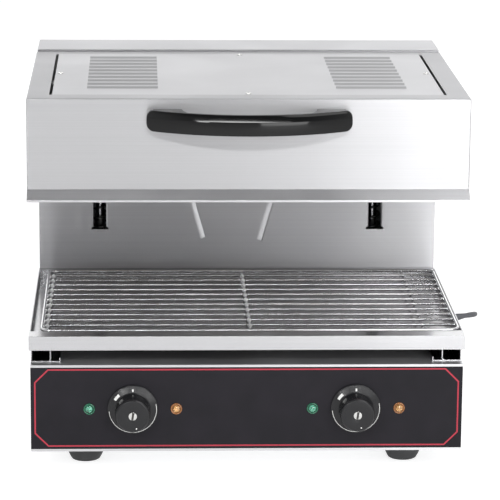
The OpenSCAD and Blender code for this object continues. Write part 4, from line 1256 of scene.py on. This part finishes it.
@dataclass
class MainsLead:
    """The cord, its gland, its coil and its plug.

    Attributes:
        diameter: of the cord.
        run: points of the stretch from the gland to the coil.
        tail: points of the stretch from the coil to the plug.
        centre: middle of the coil on the worktop.
        radii: inner and outer turn of the coil.
        layers: heights of the four places in the coil, and of the turn on top.
        wound: angles at which the coil starts and ends, in degrees.
        moves: angles at which the cord starts to move to its next place.
        move: how far round a move takes.
        step: spacing of the points on the cord.
        gland_at: where the gland stands on the box's right side.
        flutes: how many flutes the plug's grip has.
    """

    diameter: float = 7.5
    run: tuple[Point, ...] = (
        (335, 251, 103.5), (343, 251, 103.5), (351, 251, 103.5), (360, 254, 103.5),
        (368, 260, 102.5), (374, 269, 101), (377, 280, 99), (378, 293, 96), (378, 307, 92),
        (376, 321, 88), (371, 335, 83), (363, 347, 77), (352, 356, 70), (339, 363, 62),
        (324, 368, 54), (308, 371, 46), (291, 373, 37), (274, 373, 28), (257, 373, 20),
        (240, 373, 13), (223, 373, 8), (206, 373, 5), (190, 373, 4))
    tail: tuple[Point, ...] = (
        (151, 363, 19), (139, 359, 19), (127, 356, 18),
        (115, 354, 17), (103, 352, 16), (90, 350, 16))
    centre: tuple[float, float] = (176.0, 327.0)
    radii: tuple[float, float] = (38.75, 46.25)
    layers: tuple[float, ...] = (3.9, 3.9, 11.45, 11.45, 17.95)
    wound: tuple[float, float] = (90.0, 1540.0)
    moves: tuple[float, ...] = (410.0, 720.0, 1030.0, 1340.0)
    move: float = 50.0
    step: float = 6.5
    gland_at: Point = (298.0, 251.1, 103.5)
    flutes: int = 18

    def coil(self) -> Array:
        """The turns of the coil, 36 points in each.

        The cord keeps to one of four places in the bundle for most of a turn and moves to the
        next as t^2 (3 - 2t), where t goes from 0 to 1 in the move. Each move ends where the
        one before it began, a turn later. The last place is on top, between the others.

        Returns:
            The centreline, an (n, 3) array.
        """
        inner, outer = self.radii
        places = np.array([outer, inner, inner, outer, (inner + outer) / 2])
        angle = np.arange(self.wound[0], self.wound[1] + 5.0, 10.0)
        r, z = np.full(angle.shape, places[0]), np.full(angle.shape, self.layers[0])
        for k, start in enumerate(self.moves):
            t = np.clip((angle - start) / self.move, 0, 1)
            t = t * t * (3 - 2 * t)
            r += (places[k + 1] - places[k]) * t
            z += (self.layers[k + 1] - self.layers[k]) * t
        a = np.radians(angle)
        return np.stack([self.centre[0] + r * np.cos(a), self.centre[1] + r * np.sin(a), z], 1)

    def route(self) -> Array:
        """The whole centreline, from the gland to the plug."""
        return smooth_path(np.vstack([self.run, self.coil(), self.tail]), self.step)

    def gland(self) -> Shape:
        """A cable gland: a hexagon, a lock nut inside, and a sleeve with a ribbed strain relief.

        Returns:
            The gland, with its axis along X.
        """
        hexagon = lathe(np.array([
            [0, 0], [12.6, 0], [13.4, 0.8], [13.4, 5.2], [12.6, 6], [0, 6]]), 6)
        sleeve = lathe(np.array([
            [0, -10], [7.9, -10], [7.9, 5], [9.6, 5.2], [10, 6], [10, 13], [9.4, 14.6], [8.4, 16],
            [7.6, 19], [7.9, 20], [7.3, 22], [7.5, 23], [6.8, 25], [7.0, 26], [6.3, 28], [6.5, 29],
            [5.8, 31], [6.0, 32], [5.4, 34], [5.3, 36], [4.6, 37], [0, 37]]), 40)
        nut = lathe(np.array([
            [0, -6.5], [12.6, -6.5], [13.4, -5.8], [13.4, -2.3], [12.6, -1.6], [0, -1.6]]), 6)
        return joined([hexagon, sleeve, nut]).turned(TO_RIGHT).moved(self.gland_at)

    def plug(self) -> tuple[Shape, Shape]:
        """The plug's moulded body, with a grip of shallow flutes, and its two pins.

        The body's radius at height h and angle t is that of its profile, less a share of
        0.05 (1 - cos(flutes t)) / 2, which eases in from h = 20 to 26 and out from 38 to 41.

        Returns:
            The body and the pins, where the cord ends.
        """
        sides = 72
        h = np.array([0, 0.5, 6, 12, 16, 20, 24, 26, 30, 40, 43, 44, 44])
        r = np.array([0, 4.75, 5.2, 5.9, 6.4, 11.5, 15.2, 16, 16, 16, 15.6, 14.6, 0])
        t = np.linspace(0, 2 * np.pi, sides, endpoint=False)
        ease = np.clip((h - 20) / 6, 0, 1) * np.clip((41 - h) / 3, 0, 1)
        flute = 1 - 0.05 * ease[:, None] * (0.5 - 0.5 * np.cos(self.flutes * t))
        wide = np.maximum(r, AXIS_GAP)[:, None] * flute
        tall = np.repeat(h[:, None], sides, 1)
        body = skin(np.stack([wide * np.cos(t), wide * np.sin(t), tall], -1))
        pin = lathe(np.array([[0, 43.5], [2.4, 43.5], [2.4, 61.4], [1.6, 63], [0, 63]]), 20)
        pins = pin.moved((0, 9.5, 0)) + pin.moved((0, -9.5, 0))
        (x0, y0, _), end = self.tail[-2:]
        yaw = math.atan2(end[1] - y0, end[0] - x0)
        about_z = [[math.cos(yaw), -math.sin(yaw), 0], [math.sin(yaw), math.cos(yaw), 0], [0, 0, 1]]
        turn = np.array(about_z) @ TO_RIGHT
        return body.turned(turn).moved(end), pins.turned(turn).moved(end)

    def build(self) -> None:
        path = self.route()
        tube = rod(path, self.diameter / 2, 14)
        cord_nodes = ["mains_cord", "cord_coil"]
        cord = build("mains_lead", tube, Body.BASE, CORD_RUBBER, cord_nodes)
        gland = build("lead_gland", self.gland(), Body.BASE, GLAND, ["cable_gland"])
        body, pins = self.plug()
        plug = build("lead_plug", body, Body.BASE, PLUG_RUBBER, ["mains_plug"])
        pegs = build("lead_plug_pins", pins, Body.BASE, CHROME)


# ---- control box ----


@dataclass
class Knob:
    """A thermostat knob with its skirt, cap, printed marks and screw.

    Attributes:
        side: "left" or "right".
        x: its place across the fascia.
        front: the fascia's face.
        z: its height.
        reach: from the fascia to the face of the cap.
        skirt: radius and height where the skirt's slope starts, and where it ends.
        ink: how far the print lies above the skirt, and its sides reach down into it.
        head_r: radius of the screw's head.
        sunk: depth of the screw's seat under the cap's face.
        slot_lean: angle of the screw's slot from the horizontal, in degrees.
    """

    side: str
    x: float
    front: float = -218.9
    z: float = 95.0
    reach: float = 37.5
    skirt: tuple[tuple[float, float], tuple[float, float]] = ((25.2, 7.7), (33.6, 4.2))
    ink: tuple[float, float] = (0.08, 0.1)
    head_r: float = 5.6
    sunk: float = 1.5
    slot_lean: float = 82.0

    def moulding(self) -> Shape:
        """The skirt and the cap, turned about the spindle's axis.

        Returns:
            The knob's body, from the middle of the cap round its rim to the back.
        """
        f = self.reach
        line = np.array([
            [0, f - 1.6], [6.2, f - 1.6], [6.2, f], [21.4, f], [23.1, f - 1.6], [23.6, f - 4],
            [23.75, 9.2], *self.skirt, [34.75, 3.4], [34.75, 2.0], [33.9, 1.2], [16, 1.2],
            [0, 1.2]])
        radii = [0.35, 1.0, 1.0, 1.2, 1.0, 0.8, 0.5, 0.4, 0.4, 0.4]
        profile = np.vstack([line[:2], rounded_line(line[1:-1], radii, 4), line[-1:]])
        return lathe(profile, 96).turned(TO_FRONT).moved((self.x, self.front, self.z))

    def mark(self, r0: float, r1: float, a0: float, a1: float) -> Shape:
        """A printed patch on the skirt between two radii and two angles.

        The skirt's height falls evenly between its two radii, and the patch lies a little
        above it.

        Args:
            r0: inner radius.
            r1: outer radius.
            a0: first angle in degrees, anticlockwise from 3 o'clock as the user sees it.
            a1: last angle.

        Returns:
            The patch, as a thin bar bent round the axis.
        """
        (ra, ha), (rb, hb) = self.skirt
        above, below = self.ink
        n = max(2, int(abs(a1 - a0) / 3) + 2)
        a = np.radians(np.linspace(a0, a1, n))
        r = np.array([r0, r1, r1, r0])
        h = ha - (r - ra) * ((ha - hb) / (rb - ra)) + np.array([above, above, -below, -below])
        cos, sin = np.cos(a)[:, None], np.sin(a)[:, None]
        rings = np.stack([r * cos, np.broadcast_to(-h, (n, 4)), r * sin], -1)
        return skin(rings).moved((self.x, self.front, self.z))

    def marks(self) -> Shape:
        """The pointer's tick, the off mark, the rising arc and the dot on the cap.

        Returns:
            All the marks in one.
        """
        tick = self.mark(26.3, 29.6, 87.8, 92.2)
        off = self.mark(26.6, 30.2, 131, 150)
        arc = self.mark(32.3, 33.0, 184, 374)
        dot = lathe(np.array([[0, 0], [1.0, 0], [1.0, 0.12], [0, 0.12]]), 16).turned(TO_FRONT)
        spot = (self.x + 5.0, self.front - self.reach, self.z - 17.5)
        return joined([tick, off, arc, dot.moved(spot)])

    def screw(self) -> Shape:
        """The slotted screw in the middle of the cap, its slot cut as a dip across the head.

        The head's height is 2 - 0.25 (r / R)^2, less 1.7 times a share that is 1 within 1.05
        of the slot's middle line and falls to 0 at 1.35 from it.

        Returns:
            The screw's head.
        """
        r = np.linspace(0, self.head_r, 24)[:, None]
        t = np.linspace(0, 2 * np.pi, 64, endpoint=False)
        off = np.abs(r * np.sin(t - math.radians(self.slot_lean)))
        top = 2.0 - 0.25 * (r / self.head_r) ** 2 - 1.7 * np.clip((1.35 - off) / 0.3, 0, 1)
        wide = np.maximum(r, AXIS_GAP)
        head = np.stack([wide * np.cos(t), wide * np.sin(t), top], -1)
        rim = np.stack([self.head_r * np.cos(t), self.head_r * np.sin(t), np.zeros(64)], -1)[None]
        seat = (self.x, self.front - self.reach + self.sunk, self.z)
        return skin(np.vstack([head, rim])).turned(TO_FRONT).moved(seat)

    def slot_shadow(self) -> Shape:
        """Painted shade in the screw's slot: a dark round bar that fills it up to the cap's face.

        Returns:
            The bar, 1.9 thick and 9.6 long.
        """
        radius, lean = 0.95, math.radians(self.slot_lean)
        u = np.linspace(-4.8, 4.8, 9)
        path = np.stack([u * math.cos(lean), np.zeros(9), u * math.sin(lean)], 1)
        middle = (self.x, self.front - self.reach + radius, self.z)
        return rod(path, radius, 8, up=(0, 1, 0)).moved(middle)

    def build(self) -> None:
        """Makes the knob, its marks and its screw on the knob's own body."""
        side = self.side
        body = Body("knob_" + side)
        # Phenolic moulding whose face shows the rings of its turned mould: satin black.
        finish = TurnedPlastic("Knob_turned_face_" + side, "1c1c1e", 0.24, sheen=0.32,
                               middle=(self.x * MM, self.front * MM, self.z * MM))
        knob, screw = ["knob_" + side], ["knob_screw_" + side]
        build("thermostat_knob_" + side, self.moulding(), body, finish, knob)
        build("knob_marks_" + side, self.marks(), body, WHITE_INK)
        build("knob_centre_screw_" + side, self.screw(), body, ZINC, screw)
        # A dark bar in the screw's slot, as painted shade.
        build("knob_screw_slot_painted_shade_" + side, self.slot_shadow(), body, SHEATH_AND_SLOT_SHADE)
        refinish(["spindle_" + side], GROUND)


@dataclass
class ControlBox:
    """The box with its fascia, lamps, feet and runners.

    Attributes:
        front: the fascia's face.
        knob_x: places of the two knobs.
        lamp_pitch: distance of the lamps from their knob.
        z_knob: height of knobs and lamps.
        lens_r: radius of a lamp's lens.
        foot_spots: the middles of the feet.
        LAMPS: each knob's lamps: colour, side of the knob, finishes of lens and ring, slot.
    """

    front: float = -218.9
    knob_x: tuple[float, float] = (-157.5, 150.5)
    lamp_pitch: float = 60.0
    z_knob: float = 95.0
    lens_r: float = 5.0
    foot_spots: tuple[tuple[str, float, float], ...] = (
        ("front_left", -224, -138.9), ("front_right", 224, -138.9),
        ("rear_left", -224, 193.1), ("rear_right", 224, 193.1))
    LAMPS: ClassVar[tuple[tuple[str, int, Finish, Finish, Slot], ...]] = (
        ("green", -1, GREEN, GREEN_BEZEL, Slot.GREEN), ("amber", 1, AMBER, AMBER_BEZEL, Slot.AMBER))

    def lamp(self) -> tuple[Shape, Shape]:
        """A pilot lamp's bezel ring and its domed lens.

        The dome's height is 2 + 2.6 sqrt(1 - (r / R)^2), so that it closes round at its rim.

        Returns:
            The ring and the lens, with their axis along Z.
        """
        lens = self.lens_r
        r = np.linspace(lens, 0.0, 12)
        dome = np.stack([r, 2.0 + 2.6 * np.sqrt(np.clip(1 - (r / lens) ** 2, 0, 1))], 1)
        ring = np.array([
            [0, -24], [lens, -24], [lens, 0], [7.6, 0], [8, 0.4], [8, 1.3], [7.6, 1.9], [7, 2.2],
            [6.3, 2.1], [5.8, 1.6], [5.5, 0.9], [0, 0.9]])
        return lathe(ring, 48), lathe(np.vstack([[[0, 0.5], [lens, 0.5]], dome]), 48)

    def foot(self) -> Shape:
        """A tapered rubber foot whose side swells out and whose lower edge is rolled under.

        The side's radius is 20.4 + 7.1 sin(90 u)^0.9 at a height of 1.6 + 22.4 u, up to the
        collar.

        Returns:
            The foot, with a recess for its bolt.
        """
        u = np.linspace(0.06, 1, 12)
        side = np.stack([20.4 + 7.1 * np.sin(np.pi / 2 * u) ** 0.9, 1.6 + 22.4 * u], 1)
        edge = np.array([[9, 0], [17.6, 0], [19.0, 0.25], [20.0, 0.9]])
        collar = np.array([[27.9, 24.6], [28, 26], [28, 33.2], [27.6, 33.9], [9, 33.95]])
        return lathe(np.vstack([[[0, 9.9], [9, 9.9]], edge, side, collar, [[0, 33.95]]]), 56)

    def build(self) -> None:
        """Makes the box and everything on it."""
        folded("base_shell", "control_box_casing", 0.7, Body.BASE, Slot.STEEL, BOX)
        folded("control_panel", "black_fascia_plate", 0.3, Body.BASE, Slot.FASCIA, FASCIA)
        for side in ("left", "right"):
            name = "tray_runner_" + side
            folded("runner_" + side, name, 0.35, Body.BASE, Slot.STEEL, RUNNER_SHEET)
        for side, x in zip(("left", "right"), self.knob_x):
            Knob(side, x).build()
            for colour, way, lens, rim, slot in self.LAMPS:
                spot = (x + way * self.lamp_pitch, self.front, self.z_knob)
                bezel, dome = (shape.turned(TO_FRONT).moved(spot) for shape in self.lamp())
                which = f"{colour}_{side}"
                build("pilot_lamp_bezel_" + which, bezel, Body.BASE, rim, ["lamp_" + which])
                build("pilot_lamp_lens_" + which, dome, Body.BASE, lens)
        for name, x, y in self.foot_spots:
            foot = self.foot().moved((x, y, 0))
            build("rubber_foot_" + name, foot, Body.BASE, RUBBER, ["foot_" + name])
        refinish(["bottom_plate"], GALVANISED)
        refinish(["bottom_screws", "foot_bolts"], ZINC)
        refinish(["thermostat_left", "thermostat_right", "thermostat_nuts"], ZINC)
        refinish(["terminal_block"], TERMINAL)


# ---- tray and grid ----


@dataclass
class CookingDeck:
    """The drip tray and the welded wire grid on it.

    Attributes:
        x0, x1, y0, y1: the frame wire's axis.
        z: height of the wires' axis.
        gaps: spaces between the long wires.
        frame_r, bar_r, leg_r: radii of the frame wire, of the other wires and of the legs.
        corner: bend at the frame's corners.
        floor_z: top of the tray's floor.
        cross_x: places of the cross wires.
        cross_drop: how far the cross wires' axis lies under that of the long wires.
        collar: how much thicker a long wire is at its weld, how far that lies from its end,
            and how far it spreads either way.
        bead: radius and half height of a bead of weld.
    """

    x0: float = -283.0
    x1: float = 294.5
    y0: float = -185.9
    y1: float = 162.6
    z: float = 197.8
    gaps: int = 12
    frame_r: float = 2.5
    bar_r: float = 2.0
    leg_r: float = 2.2
    corner: float = 12.0
    floor_z: float = 179.5
    cross_x: tuple[float, ...] = (-276.0, 5.75, 247.5)
    cross_drop: float = 3.7
    collar: Point = (0.45, 2.4, 2.2)
    bead: tuple[float, float] = (3.5, 2.8)

    def bar_y(self) -> list[float]:
        """The long wires' places along Y, one fewer than the gaps."""
        return [self.y0 + k * ((self.y1 - self.y0) / self.gaps) for k in range(1, self.gaps)]

    def hoop(self) -> Shape:
        """The frame wire: a rectangle with four quarter bends, shut by a butt weld.

        Each bend is its centre plus r (cos t, sin t), for a quarter turn.

        Returns:
            The wire.
        """
        r, n = self.corner, 8
        left, right, near, far = self.x0 + r, self.x1 - r, self.y0 + r, self.y1 - r
        corners = ((right, far, 0), (left, far, 90), (left, near, 180), (right, near, 270))
        bends = []
        for x, y, start in corners:
            t = np.radians(np.linspace(start, start + 90, n))
            bends.append(np.stack([x + r * np.cos(t), y + r * np.sin(t), np.full(n, self.z)], 1))
        return rod(np.vstack(bends), self.frame_r, 16, closed=True)

    def bend(self, x: float) -> float:
        """How far the frame wire has bent inwards at a place along X."""
        short = max(0.0, self.corner - min(x - self.x0, self.x1 - x))
        return self.corner - math.sqrt(self.corner**2 - short**2)

    def wires(self) -> Shape:
        """The long wires, each a little thicker at its weld on the frame wire.

        At a distance e from its end a wire's radius is r + a (1 - |e - b| / c), and no less
        than r, where a, b and c are the collar's three sizes.

        Returns:
            The wires.
        """
        long = self.x1 - self.x0
        u = np.concatenate([np.linspace(0, 4, 5), [60], [long - 60], long - np.linspace(4, 0, 5)])
        thicker, at, spread = self.collar
        r = self.bar_r + thicker * np.clip(1 - np.abs(np.minimum(u, u[::-1]) - at) / spread, 0, 1)
        same = np.ones(u.shape)
        paths = (np.stack([self.x0 + u, same * y, same * self.z], 1) for y in self.bar_y())
        return joined(rod(path, r, 12) for path in paths)

    def supports(self) -> Shape:
        """The cross wires under the long ones, and the legs at their ends.

        Returns:
            The cross wires and the legs.
        """
        made = []
        for x in self.cross_x:
            near, far = self.y0 + self.bend(x), self.y1 - self.bend(x)
            y = np.linspace(near + 1.0, far - 1.0, 9)
            line = np.stack([np.full(9, x), y, np.full(9, self.z - self.cross_drop)], 1)
            made.append(rod(line, self.bar_r, 12))
            for end in (near, far):
                z = np.linspace(self.floor_z + 0.02, self.z - 0.6, 5)
                leg = np.stack([np.full(5, x), np.full(5, end), z], 1)
                made.append(rod(leg, self.leg_r, 12, up=(0, 1, 0)))
        return joined(made)

    def welds(self) -> Shape:
        """A small bead of metal on each weld that shows, as a flat ellipsoid. Its pale finish is
        partly a painted highlight.

        They sit where the long wires cross the left and middle cross wires and where they end on
        the frame wire's left side. The right cross wire is welded from below. A bead's outline
        is (R cos a, H sin a), for a from -90 to 90 degrees.

        Returns:
            The beads.
        """
        a = np.linspace(-np.pi / 2, np.pi / 2, 6)
        wide, high = self.bead
        bead = lathe(np.stack([wide * np.cos(a), high * np.sin(a)], 1), 12)
        spots = (self.x0 + 0.6, *self.cross_x[:2])
        return joined(bead.moved((x, y, self.z - 0.5)) for x in spots for y in self.bar_y())

    def build(self) -> None:
        """Makes the tray and the grid."""
        folded("drip_tray", "folded_drip_tray", 0.8, Body.TRAY, Slot.STEEL, TRAY_SHEET)
        build("grid_frame_wire", self.hoop(), Body.GRID, CHROME, ["grid_frame"])
        wires = self.wires() + self.supports()
        build("grid_wires", wires, Body.GRID, CHROME, ["wire_grid"])
        # Real weld beads, made paler than the chrome as a painted highlight.
        build("grid_weld_beads", self.welds(), Body.GRID, WELD)


# ---- column and lift ----


@dataclass
class Column:
    """The lift column with the rods, springs and brackets inside it.

    Attributes:
        wire: wire diameter of the counterbalance springs.
        turns: turns in a spring, of which the first and the last are closed.
        closed: how far a closed turn rises, in wire diameters.
        travel: how far the hood comes down; not used.
    """

    wire: float = 3.0
    turns: int = 16
    closed: float = 1.05
    travel: float = 145.0

    def spring(self, side: str) -> None:
        """Makes a counterbalance spring.

        After n turns the wire's axis is at (x + R cos 2 pi n, y + R sin 2 pi n, z). In the
        first and the last turn z rises by a little over the wire's thickness, so that they
        are closed, and it rises evenly between them.

        Args:
            side: "left" or "right".
        """
        low, high = (np.array(corner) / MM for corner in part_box("spring_" + side))
        x, y = (low[:2] + high[:2]) / 2
        r = (high[0] - low[0] - self.wire) / 2
        n = np.linspace(0, self.turns, self.turns * 28 + 1)
        half, end = self.wire / 2, (0.5 + self.closed) * self.wire
        heights = [low[2] + half, low[2] + end, high[2] - end, high[2] - half]
        z = np.interp(n, [0, 1, self.turns - 1, self.turns], heights)
        path = np.stack([x + r * np.cos(2 * np.pi * n), y + r * np.sin(2 * np.pi * n), z], 1)
        coil, name = rod(path, half, 8), "counterbalance_spring_" + side
        made = build(name, coil, Body.BASE, SPRING, ["spring_" + side])
        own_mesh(made)

    def build(self) -> None:
        """Dresses the column's sheets, rods, springs and brackets."""
        steel = (Body.BASE, Slot.STEEL, COLUMN_SHEET)
        zinc_sheet = (Body.BASE, Slot.GALVANISED, GALVANISED)
        folded("column_panel", "column_front_panel", 0.7, *steel, crease=5.0)
        folded("column_side_left", "column_left_side", 0.5, *steel)
        folded("column_side_right", "column_right_side", 0.5, *steel)
        folded("column_top", "column_top_sheet", 0.6, Body.BASE, Slot.STEEL, COVER)
        folded("rear_cover", "column_rear_cover", 0.4, *zinc_sheet)
        folded("lower_bracket", "lower_rod_bracket", 0.4, *zinc_sheet)
        folded("upper_bracket", "upper_rod_bracket", 0.4, *zinc_sheet)
        refinish(["rear_screws"], ZINC)
        refinish(["guide_rod_left", "guide_rod_right"], GROUND)
        self.spring("left")
        self.spring("right")


# ---- hood ----


@dataclass
class Hood:
    """The sliding hood: casing, rim, louvred cover, handle and heating.

    Attributes:
        front: the front face.
        top: the top face.
        handle_z: height of the handle's axis.
        bow: radius of the handle's front face, seen from above.
        reach: from the hood to the front of the handle.
        half_l: half the handle's length.
        pad: where a pad leaves the bar, meets the hood, and ends.
        deep: depth of the bar, and of the outline that its sections are drawn from.
        half_h: half the height of the bar and of that outline.
        end_r: radius on which the handle's height drops at its ends.
        seat: how far the handle stays off the hood's face.
        screws: the cover screws.
        SECTION: corners of a section: distance behind the front face, and height.
        ROUNDING: radii of those corners.
    """

    front: float = -218.9
    top: float = 528.5
    handle_z: float = 501.0
    bow: float = 249.35
    reach: float = 55.95
    half_l: float = 138.5
    pad: Point = (83.0, 91.0, 129.5)
    deep: float = 12.0
    half_h: float = 14.0
    end_r: float = 10.0
    seat: float = 0.03
    screws: tuple[tuple[float, float], ...] = (
        (0.0, -179.9), (0.0, 150.1), (-259.0, -14.9), (259.0, -14.9))
    SECTION: ClassVar[tuple[tuple[float, float], ...]] = (
        (4, -14), (0, -14), (0, 4.2), (2.5, 10.8), (4.6, 14), (12, 14), (12, -14), (4, -14))
    ROUNDING: ClassVar[tuple[float, ...]] = (4.0, 6.0, 3.0, 2.0, 4.0, 4.0)

    def stations(self) -> Array:
        """Where the handle's sections stand along X.

        They crowd where the pads leave the bar and at the ends.

        Returns:
            The places, from left to right.
        """
        x0, x1, x2 = self.pad
        bar = [0, 12, 24, 36, 48, 60, 68, 74, 79, 82]
        flare = x1 - (x1 - x0) * np.linspace(1, 0, 14) ** 2
        pad = [91.3, 94, 98, 104, 112, 120, 126]
        end = [*np.linspace(128.5, x2, 4), *np.linspace(x2 + 0.15, self.half_l, 18)]
        right = np.concatenate([bar, flare, pad, end])
        return np.concatenate([-right[:0:-1], right])

    def handle(self) -> Shape:
        """The bowed handle, one moulding from pad to pad.

        At each place x the front is on the bow, y = c - sqrt(R^2 - x^2), and the bar's back is
        12 / cos(a) behind it, where sin(a) = x / R. A pad's inner side leaves the bar at x0 and
        meets the hood at x1: there the back is (x1 - |x|)^1/2 / (x1 - x0)^1/2 of the way from
        the hood to the bar. The height is 28 and drops at the ends on a 10 radius. Each section
        is a rounded rectangle with a soft facet along its upper front edge, drawn 12 deep and
        28 high and scaled to the height there, with its back half carried to the bar's back.

        Returns:
            The handle.
        """
        x0, x1, x2 = self.pad
        x = self.stations()
        far, wall = np.abs(x), self.front - self.seat
        ahead = np.sqrt(self.bow**2 - x**2)
        face = self.front - self.reach + self.bow - ahead
        bar = np.minimum(face + self.deep * self.bow / ahead, wall)
        flare = np.sqrt(np.clip((x1 - far) / (x1 - x0), 0, 1))
        back = np.where(far <= x2, wall - (wall - bar) * flare, bar)
        past = np.clip(far - (self.half_l - self.end_r), 0, self.end_r)
        drop = self.end_r - np.sqrt(np.clip(self.end_r**2 - past**2, 0, None))
        # The last section keeps a little of its height, so that its cap isn't a line.
        small = ((self.half_h - 0.97 * drop) / self.half_h)[:, None]
        outline = rounded_line(np.array(self.SECTION, float), self.ROUNDING, 6)[:-1]
        u, v = outline[None, :, 0], outline[None, :, 1]
        depth = (back - face)[:, None]
        most = depth * 0.48
        from_front = np.minimum(u * small, most)
        from_back = depth - np.minimum((self.deep - u) * small, most)
        behind = np.where(u < self.deep / 2, from_front, from_back)
        along = np.repeat(x[:, None], u.shape[1], 1)
        return skin(np.stack([along, face[:, None] + behind, self.handle_z + v * small], -1))

    def build(self) -> None:
        """Makes the hood and what it carries."""
        folded("hood_shell", "hood_casing", 0.8, Body.HOOD, Slot.STEEL, CASING)
        folded("hood_rim", "hood_lower_rim", 0.4, Body.HOOD, Slot.STEEL, RIM_SHEET)
        folded("vent_cover", "louvred_cover", 0.3, Body.HOOD, Slot.STEEL, COVER)
        build("bowed_handle", self.handle(), Body.HOOD, HANDLE, ["hood_handle"])
        head = pan_head(4.0, 1.8, 1.2)
        shank = lathe(np.array([[0, -6], [2, -6], [2, 0.01], [0, 0.01]]), 16)
        spots = [(x, y, self.top) for x, y in self.screws]
        screws = joined(part.moved(spot) for part in (head, shank) for spot in spots)
        build("cover_pan_screws", screws, Body.HOOD, ZINC, ["cover_screws"])
        folded("reflector", "heat_reflector", 0.3, Body.HOOD, Slot.REFLECTOR, REFLECTOR)
        refinish(["handle_screws", "element_hangers"], ZINC)
        refinish(["element_left", "element_right"], SHEATH_AND_SLOT_SHADE)
        refinish(["sensor_bulbs"], BULB)
        refinish(["arm_left", "arm_right"], PAINT)
        refinish(["carriage_left", "carriage_right"], CAST)
        refinish(["carriage_bushes"], BRONZE)


def main() -> None:
    """Builds the stage, the lead and the sub-assemblies in order."""
    logging.basicConfig(level=logging.INFO, format="%(name)s: %(message)s")
    bpy.context.scene.view_settings.view_transform = "Standard"
    for part in (Stage(), MainsLead(), ControlBox(), CookingDeck(), Column(), Hood()):
        LOG.info("building %s", type(part).__name__)
        part.build()


if __name__ == "__main__":
    main()
